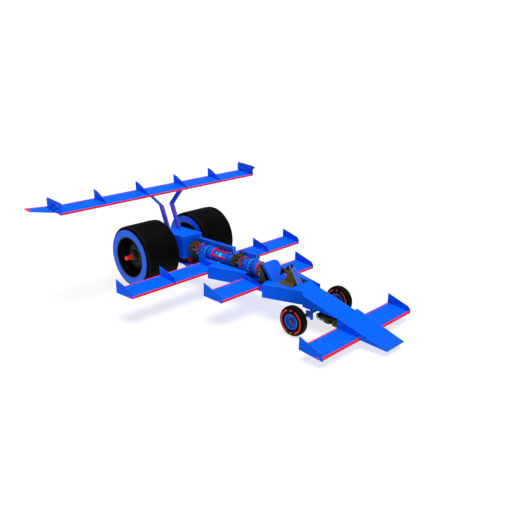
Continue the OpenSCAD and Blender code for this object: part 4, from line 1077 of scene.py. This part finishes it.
# Firewall: an olive sheet behind the seat, stiffened by triangular side gussets, a folded
# top edge and bolted feet, with two bright unions where lines pass through.
fire_low, fire_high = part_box("firewall")
brown_edge = coat("brown_edge", (0.06, 0.01, 0.004), (0.03, 0.005, 0.002), 0.5, ripple=0.03, grain=200)
bm = bmesh.new()
for out in (-1, 1):
    prism(bm, [(fire_high.x, 0.445), (fire_high.x + 0.25, 0.445), (fire_high.x + 0.255, 0.47),
               (fire_high.x + 0.06, fire_high.z - 0.06), (fire_high.x, fire_high.z - 0.002)],
          *sorted((out * 0.212, out * 0.221)), bevel=0.001)
    prism(bm, oblong(fire_high.x, 0.44, fire_high.x + 0.26, 0.447), *sorted((out * 0.185, out * 0.221)))
    for i in range(4):
        rod(bm, (fire_high.x + 0.03 + 0.06 * i, out * 0.2, 0.447),
            (fire_high.x + 0.03 + 0.06 * i, out * 0.2, 0.455), 0.008, 6)
for i in range(9):
    y = -0.19 + 0.0475 * i
    rod(bm, (fire_low.x - 0.007, y, fire_high.z - 0.022), (fire_high.x + 0.005, y, fire_high.z - 0.022),
        0.006, 8)
for y in (-0.14, 0.0, 0.14):
    prism(bm, [(fire_high.x, 0.5), (fire_high.x + 0.012, 0.51), (fire_high.x + 0.012, 0.89),
               (fire_high.x, 0.9)], y - 0.012, y + 0.012)
place_piece(bm, "firewall_gussets", "chassis", olive_metal, smooth=35)
bm = bmesh.new()
for out in (-1, 1):
    rod(bm, (fire_high.x + 0.004, out * 0.2165, fire_high.z - 0.002), (fire_high.x + 0.06, out * 0.2165,
        fire_high.z - 0.06), 0.0085, 10)
    rod(bm, (fire_high.x + 0.06, out * 0.2165, fire_high.z - 0.06), (fire_high.x + 0.256, out * 0.2165,
        0.47), 0.0085, 10)
place_piece(bm, "firewall_edge_beads", "chassis", brown_edge, smooth=40)
bm = bmesh.new()
for y, z in ((-0.15, 0.8), (-0.12, 0.74), (0.1, 0.8), (-0.165, 0.685)):
    rod(bm, (fire_low.x - 0.05, y, z), (fire_low.x + 0.002, y, z), 0.016, 6)
    rod(bm, (fire_low.x - 0.075, y, z), (fire_low.x - 0.045, y, z), 0.01, 12)
place_piece(bm, "firewall_unions", "chassis", teal_stud, smooth=35)


# Dash cowl: a tall olive fairing whose sides sweep back and out to the deck. A bolted blue
# strip runs down its front between tan beads, under a tan cap that carries the camera.
cowl_low, cowl_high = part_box("dash_pedestal")
strip_blue = coat("strip_blue", (0.02, 0.17, 1.0), (0.008, 0.13, 1.0), 0.35, ripple=0.01, grain=200,
                  shine=0.3)
tan_trim = coat("tan_trim", (0.38, 0.2, 0.09), (0.24, 0.12, 0.05), 0.45, ripple=0.02, grain=240, shine=0.3)
camera_black = coat("camera_black", (0.01, 0.008, 0.006), (0.004, 0.003, 0.002), 0.35, ripple=0.02,
                    grain=300, shine=0.3)
dress(camera_black, "cowl_camera")
levels = ((0.69, -0.165, -0.262), (0.7, -0.15, -0.236), (0.708, -0.11, -0.196), (0.724, -0.07, -0.158),
          (0.75, -0.036, -0.13),
          (0.8, -0.012, -0.1065), (0.86, 0.004, -0.089), (0.93, 0.013, -0.0665), (0.983, 0.016, -0.045))
for hand, out in (("left", -1), ("right", 1)):
    bm = bmesh.new()
    grid = []
    for z, rear, y in levels:
        front = cowl_high.x - 0.195 * max(0.0, (z - 0.7)) / 0.285
        row = []
        for j in range(13):
            t = j / 12
            x = cowl_low.x + rear + (front - cowl_low.x - rear) * t
            row.append(bm.verts.new((x, out * y * (1 - 0.1 * t * t), z)))
        grid.append(row)
    for i in range(len(grid) - 1):
        for j in range(12):
            bm.faces.new((grid[i][j], grid[i][j + 1], grid[i + 1][j + 1], grid[i + 1][j]))
    skirt = place_piece(bm, f"cowl_skirt_{hand}", "chassis", olive_metal, smooth=50)
    skirt.modifiers.new("skin", "SOLIDIFY").thickness = 0.005
    round_off = skirt.modifiers.new("round", "SUBSURF")
    round_off.levels = round_off.render_levels = 1
slope = Vector((-0.195, 0, 0.285)).normalized()
foot = Vector((cowl_high.x, 0, 0.7))
rise = Vector((0.285, 0, 0.195)).normalized()
bm = bmesh.new()
bmesh.ops.create_cube(bm, size=1)
bmesh.ops.subdivide_edges(bm, edges=bm.edges[:], cuts=3, use_grid_fill=True)
for v in bm.verts:
    s = (v.co.z + 0.5) * 0.338
    half = 0.06 - 0.045 * s
    bulge = 0.004 * (1 - (2 * v.co.y) ** 2)
    v.co = foot + slope * s + rise * (v.co.x * 0.01 + 0.004 + bulge) + Vector((0, v.co.y * 2 * half, 0))
place_piece(bm, "cowl_front_strip", "chassis", strip_blue, smooth=50)
bm = bmesh.new()
for out in (-1, 1):
    rod(bm, foot + rise * 0.006 + Vector((0, out * 0.064, 0)), foot + slope * 0.338 + rise * 0.006
        + Vector((0, out * 0.047, 0)), 0.0095, 14)
    rod(bm, foot + Vector((0, out * 0.064, 0.004)), foot + Vector((0.05, out * 0.075, 0.004)), 0.0095, 14,
        end_radius=0.006)
for ends in ((-0.048, -0.0225), (0.0225, 0.048)):
    prism(bm, [(cowl_low.x + 0.008, cowl_high.z), (cowl_low.x + 0.062, cowl_high.z),
               (cowl_low.x + 0.058, cowl_high.z + 0.012), (cowl_low.x + 0.012, cowl_high.z + 0.012)], *ends,
          bevel=0.003)
place_piece(bm, "cowl_beads", "chassis", tan_trim, smooth=40)
bm = bmesh.new()
for i in range(8):
    for out in (-1, 1):
        bolt(bm, foot + slope * (0.02 + 0.042 * i) + rise * 0.0125 + Vector((0, out * 0.034, 0)),
             rise * 0.003, 0.0045)
for i in range(3):
    spot = foot + slope * (0.09 + 0.09 * i) + rise * 0.014
    turned(bm, [(0.0, 0.0), (0.014, 0.0), (0.014, 0.002), (0.01, 0.003), (0.0, 0.003)], spot, rise, 20)
place_piece(bm, "cowl_strip_screws", "chassis", flush_metal, smooth=40)
bm = bmesh.new()
rod(bm, (cowl_low.x + 0.002, -0.088, 0.845), (cowl_low.x - 0.016, -0.092, 0.845), 0.013, 20)
rod(bm, (cowl_low.x - 0.016, -0.092, 0.845), (cowl_low.x - 0.022, -0.0925, 0.845), 0.013, 20,
    end_radius=0.008)
place_piece(bm, "cowl_red_knob", "chassis", red_enamel, smooth=40)
camera_low, camera_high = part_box("cowl_camera")
bm = bmesh.new()
turned(bm, [(0.0, 0.0), (0.017, 0.0), (0.019, 0.003), (0.019, 0.014), (0.015, 0.018), (0.0, 0.016)],
       Vector((camera_high.x, 0, camera_high.z - 0.024)), (1, 0, 0), 28)
turned(bm, oblong(0.0, 0.0, 0.008, 0.006), Vector((camera_high.x, 0, camera_low.z + 0.018)), (1, 0, 0), 20)
prism(bm, [(camera_low.x - 0.012, camera_low.z), (camera_high.x + 0.012, camera_low.z),
           (camera_high.x + 0.004, camera_low.z + 0.014), (camera_low.x - 0.004, camera_low.z + 0.014)],
      -0.022, 0.022)
for out in (-1, 1):
    rod(bm, (camera_low.x + 0.013, out * 0.021, camera_high.z - 0.02), (camera_low.x + 0.013, out * 0.029,
        camera_high.z - 0.02), 0.009, 16)
place_piece(bm, "camera_lens", "chassis", camera_black, smooth=40)


# Steering yoke: a flat hub plate with two rounded grips, finger bumps, thumb rests and
# rows of small blue and cyan buttons. It turns with the wheel on its column.
grip_dark = coat("grip_dark", (0.016, 0.012, 0.004), (0.006, 0.004, 0.001), 0.55, ripple=0.06, grain=380,
                 shine=0.2)
dress(grip_dark, "steering_wheel")
turn = Vector((-math.cos(math.radians(15)), 0, math.sin(math.radians(15))))
yoke_top = Vector((math.sin(math.radians(15)), 0, math.cos(math.radians(15))))
wide = Vector((0, 1, 0))
yoke_at = Vector((0, 0, 0))
tips = [Vector(v.co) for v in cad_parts["steering_wheel"].data.vertices if abs(v.co.y) > 0.1]
for tip in tips:
    yoke_at += tip / len(tips)
yoke_at.y = 0.0
bm = bmesh.new()
for out in (-1, 1):
    spots = [yoke_at + yoke_top * h + wide * out * y + turn * d for h, y,
             d in ((-0.073, 0.084, 0.004), (-0.045, 0.095, 0.0), (0.0, 0.0965, 0.0), (0.045, 0.093, 0.0),
                   (0.073, 0.08, 0.004))]
    for a, b in zip(spots, spots[1:]):
        rod(bm, a, b, 0.0185, 20)
    for spot in spots:
        bmesh.ops.create_uvsphere(bm, u_segments=20, v_segments=12, radius=0.0188,
                                  matrix=Matrix.Translation(spot))
    for h in (-0.03, -0.01, 0.01, 0.03):
        bmesh.ops.create_uvsphere(bm, u_segments=14, v_segments=10, radius=0.0165,
                                  matrix=Matrix.Translation(yoke_at + yoke_top * h + wide * out * 0.102
                                                            - turn * 0.006))
half, below, above, thick = 0.074, -0.03, 0.034, 0.012
plate = bmesh.ops.create_cube(bm, size=1)["verts"]
for v in plate:
    v.co = (yoke_at + wide * v.co.y * 2 * half * (0.8 if v.co.z < 0 else 1.0) + yoke_top
            * ((v.co.z + 0.5) * (above - below) + below) + turn * (0.006 + v.co.x * thick))
edges = {e for v in plate for e in v.link_edges}
bmesh.ops.bevel(bm, geom=[e for e in bm.edges if e in edges], offset=0.004, affect="EDGES",
                segments=3, profile=0.5, material=-1)
place_piece(bm, "yoke_grips", "steering_wheel", grip_dark, smooth=45)
bm = bmesh.new()
for i, (y, h) in enumerate(((-0.055, 0.018), (-0.036, 0.022), (-0.016, 0.018), (0.016, 0.018),
                            (0.036, 0.022), (0.055, 0.018), (-0.045, -0.01), (0.045, -0.01),
                            (-0.022, -0.014), (0.022, -0.014))):
    spot = yoke_at + wide * y + yoke_top * h + turn * 0.011
    turned(bm, [(0.0, 0.0), (0.0062, 0.0), (0.0062, 0.005), (0.0045, 0.0065), (0.0, 0.0065)], spot, turn,
           16)
place_piece(bm, "yoke_buttons", "steering_wheel", cyan_glaze, smooth=40)
bm = bmesh.new()
turned(bm, [(0.0, 0.0), (0.02, 0.0), (0.022, 0.004), (0.022, 0.01), (0.016, 0.014), (0.0, 0.014)],
       yoke_at + turn * 0.012, turn, 32)
turned(bm, [(0.0145, -0.06), (0.03, -0.06), (0.036, -0.03), (0.036, -0.018), (0.0145, -0.018)], yoke_at,
       turn, 32)
place_piece(bm, "yoke_hub", "steering_wheel", olive_metal, smooth=40)


# Panel fixings: flush slotted fasteners along the deck edges, wing roots, hood and nose,
# and a dark seam strip where the nose section joins the hood.
pale_fixing = coat("pale_fixing", (0.2, 0.16, 1.0), (0.12, 0.1, 0.8), 0.35, ripple=0.01, grain=300,
                   shine=0.4)
seam_brown = coat("seam_brown", (0.09, 0.01, 0.012), (0.04, 0.006, 0.008), 0.6, ripple=0.03, grain=200)


def slots_along(bm, start, end, count, up, size=(0.03, 0.007, 0.0018)):
    """A row of short raised bars lying along a line."""
    start, end, up = Vector(start), Vector(end), Vector(up).normalized()
    along = (end - start).normalized()
    cross = up.cross(along)
    turn_to = Matrix((along, cross, up)).transposed().to_4x4()
    for i in range(count):
        spot = start + (end - start) * ((i + 0.5) / count)
        block(bm, spot, size, turn_to)


wall_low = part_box("side_wall_left")[0]
deck = 0.7
front_x = front_axle.x
# along the cockpit pods and the rear pods: (x, half width of the body) at each end
cab_back = front_x - 0.962
cockpit_pod = [(cab_back - 0.01, 0.505), (front_x - 0.147, 0.262)]
rear_pod = [(wall_low.x + 0.52, 0.508), (cab_back - 0.75, 0.292)]
fixing_lift, fine_slot = 0.0005, (0.022, 0.006, 0.0015)
bm = bmesh.new()
for out in (-1, 1):
    for (x0, y0), (x1, y1), count in ((*cockpit_pod, 13), (*rear_pod, 11)):
        slots_along(bm, (x0 + 0.02, out * (y0 - 0.012), deck + fixing_lift),
                    (x1 - 0.02, out * (y1 - 0.012), deck + fixing_lift), count, (0, 0, 1))
    slots_along(bm, (wall_low.x + 0.27, out * 0.276, deck + fixing_lift),
                (wall_low.x + 0.43, out * 0.276, deck + fixing_lift), 4, (0, 0, 1))
hood_x0, hood_x1 = front_x - 0.427, front_x + 0.7
hood_end_z = 0.398
fall = (deck - hood_end_z) / (hood_x1 - hood_x0)
tilted = Vector((fall, 0, 1)).normalized()


def on_hood(x, y, lift=0.0006):
    return Vector((x, y, deck - fall * (x - hood_x0))) + tilted * lift


slots_along(bm, on_hood(hood_x0 + 0.05, 0.0), on_hood(hood_x1 - 0.06, 0.0), 8, tilted, size=fine_slot)
for out in (-1, 1):
    slots_along(bm, on_hood(front_x - 0.1, out * 0.252), on_hood(hood_x1 - 0.05, out * 0.252), 8, tilted,
                size=fine_slot)
nose_low, nose_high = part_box("nose_cone")
nose_tip_z = 0.112
nose_fall = (nose_high.z - nose_tip_z) / (nose_high.x - nose_low.x)
nose_up = Vector((nose_fall, 0, 1))


def on_nose(x, y, lift=0.0006):
    return Vector((x, y, nose_high.z - nose_fall * (x - nose_low.x))) + nose_up.normalized() * lift


slots_along(bm, on_nose(nose_low.x + 0.06, 0.0), on_nose(nose_high.x - 0.08, 0.0), 8, nose_up,
            size=fine_slot)
for out in (-1, 1):
    slots_along(bm, on_nose(nose_low.x + 0.03, out * 0.292), on_nose(nose_high.x - 0.04, out * 0.258), 12,
                nose_up)
housing_low, housing_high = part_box("gearbox_housing")
for out in (-1, 1):
    slots_along(bm, (housing_low.x + 0.08, out * 0.25, housing_high.z + 0.0004),
                (housing_high.x - 0.01, out * 0.25, housing_high.z + 0.0004), 9, (0, 0, 1))
    slots_along(bm, (housing_high.x - 0.012, out * (housing_high.y + 0.0004), housing_low.z + 0.02),
                (housing_high.x - 0.012, out * (housing_high.y + 0.0004), housing_high.z - 0.02), 7,
                (0, out, 0))
slots_along(bm, (housing_high.x - 0.014, -0.24, housing_high.z + 0.0004),
            (housing_high.x - 0.014, 0.24, housing_high.z + 0.0004), 7, (0, 0, 1))
place_piece(bm, "panel_fixings", "chassis", pale_fixing)
bm = bmesh.new()
slots_along(bm, on_hood(hood_x1 - 0.01, -0.255), on_hood(hood_x1 - 0.01, 0.255), 12, tilted,
            size=(0.034, 0.01, 0.0022))
for out in (-1, 1):
    slots_along(bm, (hood_x1 - 0.01, out * 0.2685, 0.255), (hood_x1 - 0.01, out * 0.2685, 0.385), 4,
                (0, out, 0), size=(0.026, 0.008, 0.0022))
place_piece(bm, "hood_seam", "chassis", seam_brown)
bm = bmesh.new()
for wing, (lead_root, trail_root) in side_wings.items():
    for hand, out in hands:
        low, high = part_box(f"{wing}_wing_{hand}")
        tip = max(abs(low.y), abs(high.y)) - 2 * half_plate
        z_trail = high.z - plate_rise
        for share in (0.28, 0.72):
            x = low.x + foot_gap + chord * share
            z = z_trail - wing_fall * share + 0.0165
            slots_along(bm, (x, out * (max(lead_root, trail_root) + 0.06), z), (x, out * (tip - 0.05), z),
                        9 if tip > 2 else 4, (0.124, 0, 1), size=(0.02, 0.006, 0.0016))
        for end in (max(lead_root, trail_root) + 0.008, tip - 0.004):
            slots_along(bm, (low.x + 0.04, out * end, z_trail + 0.011),
                        (low.x + 0.46, out * end, z_trail - 0.045), 6, (0.124, 0, 1),
                        size=(0.04, 0.006, 0.004))
place_piece(bm, "wing_fixings", "chassis", pale_fixing)

low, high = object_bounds()
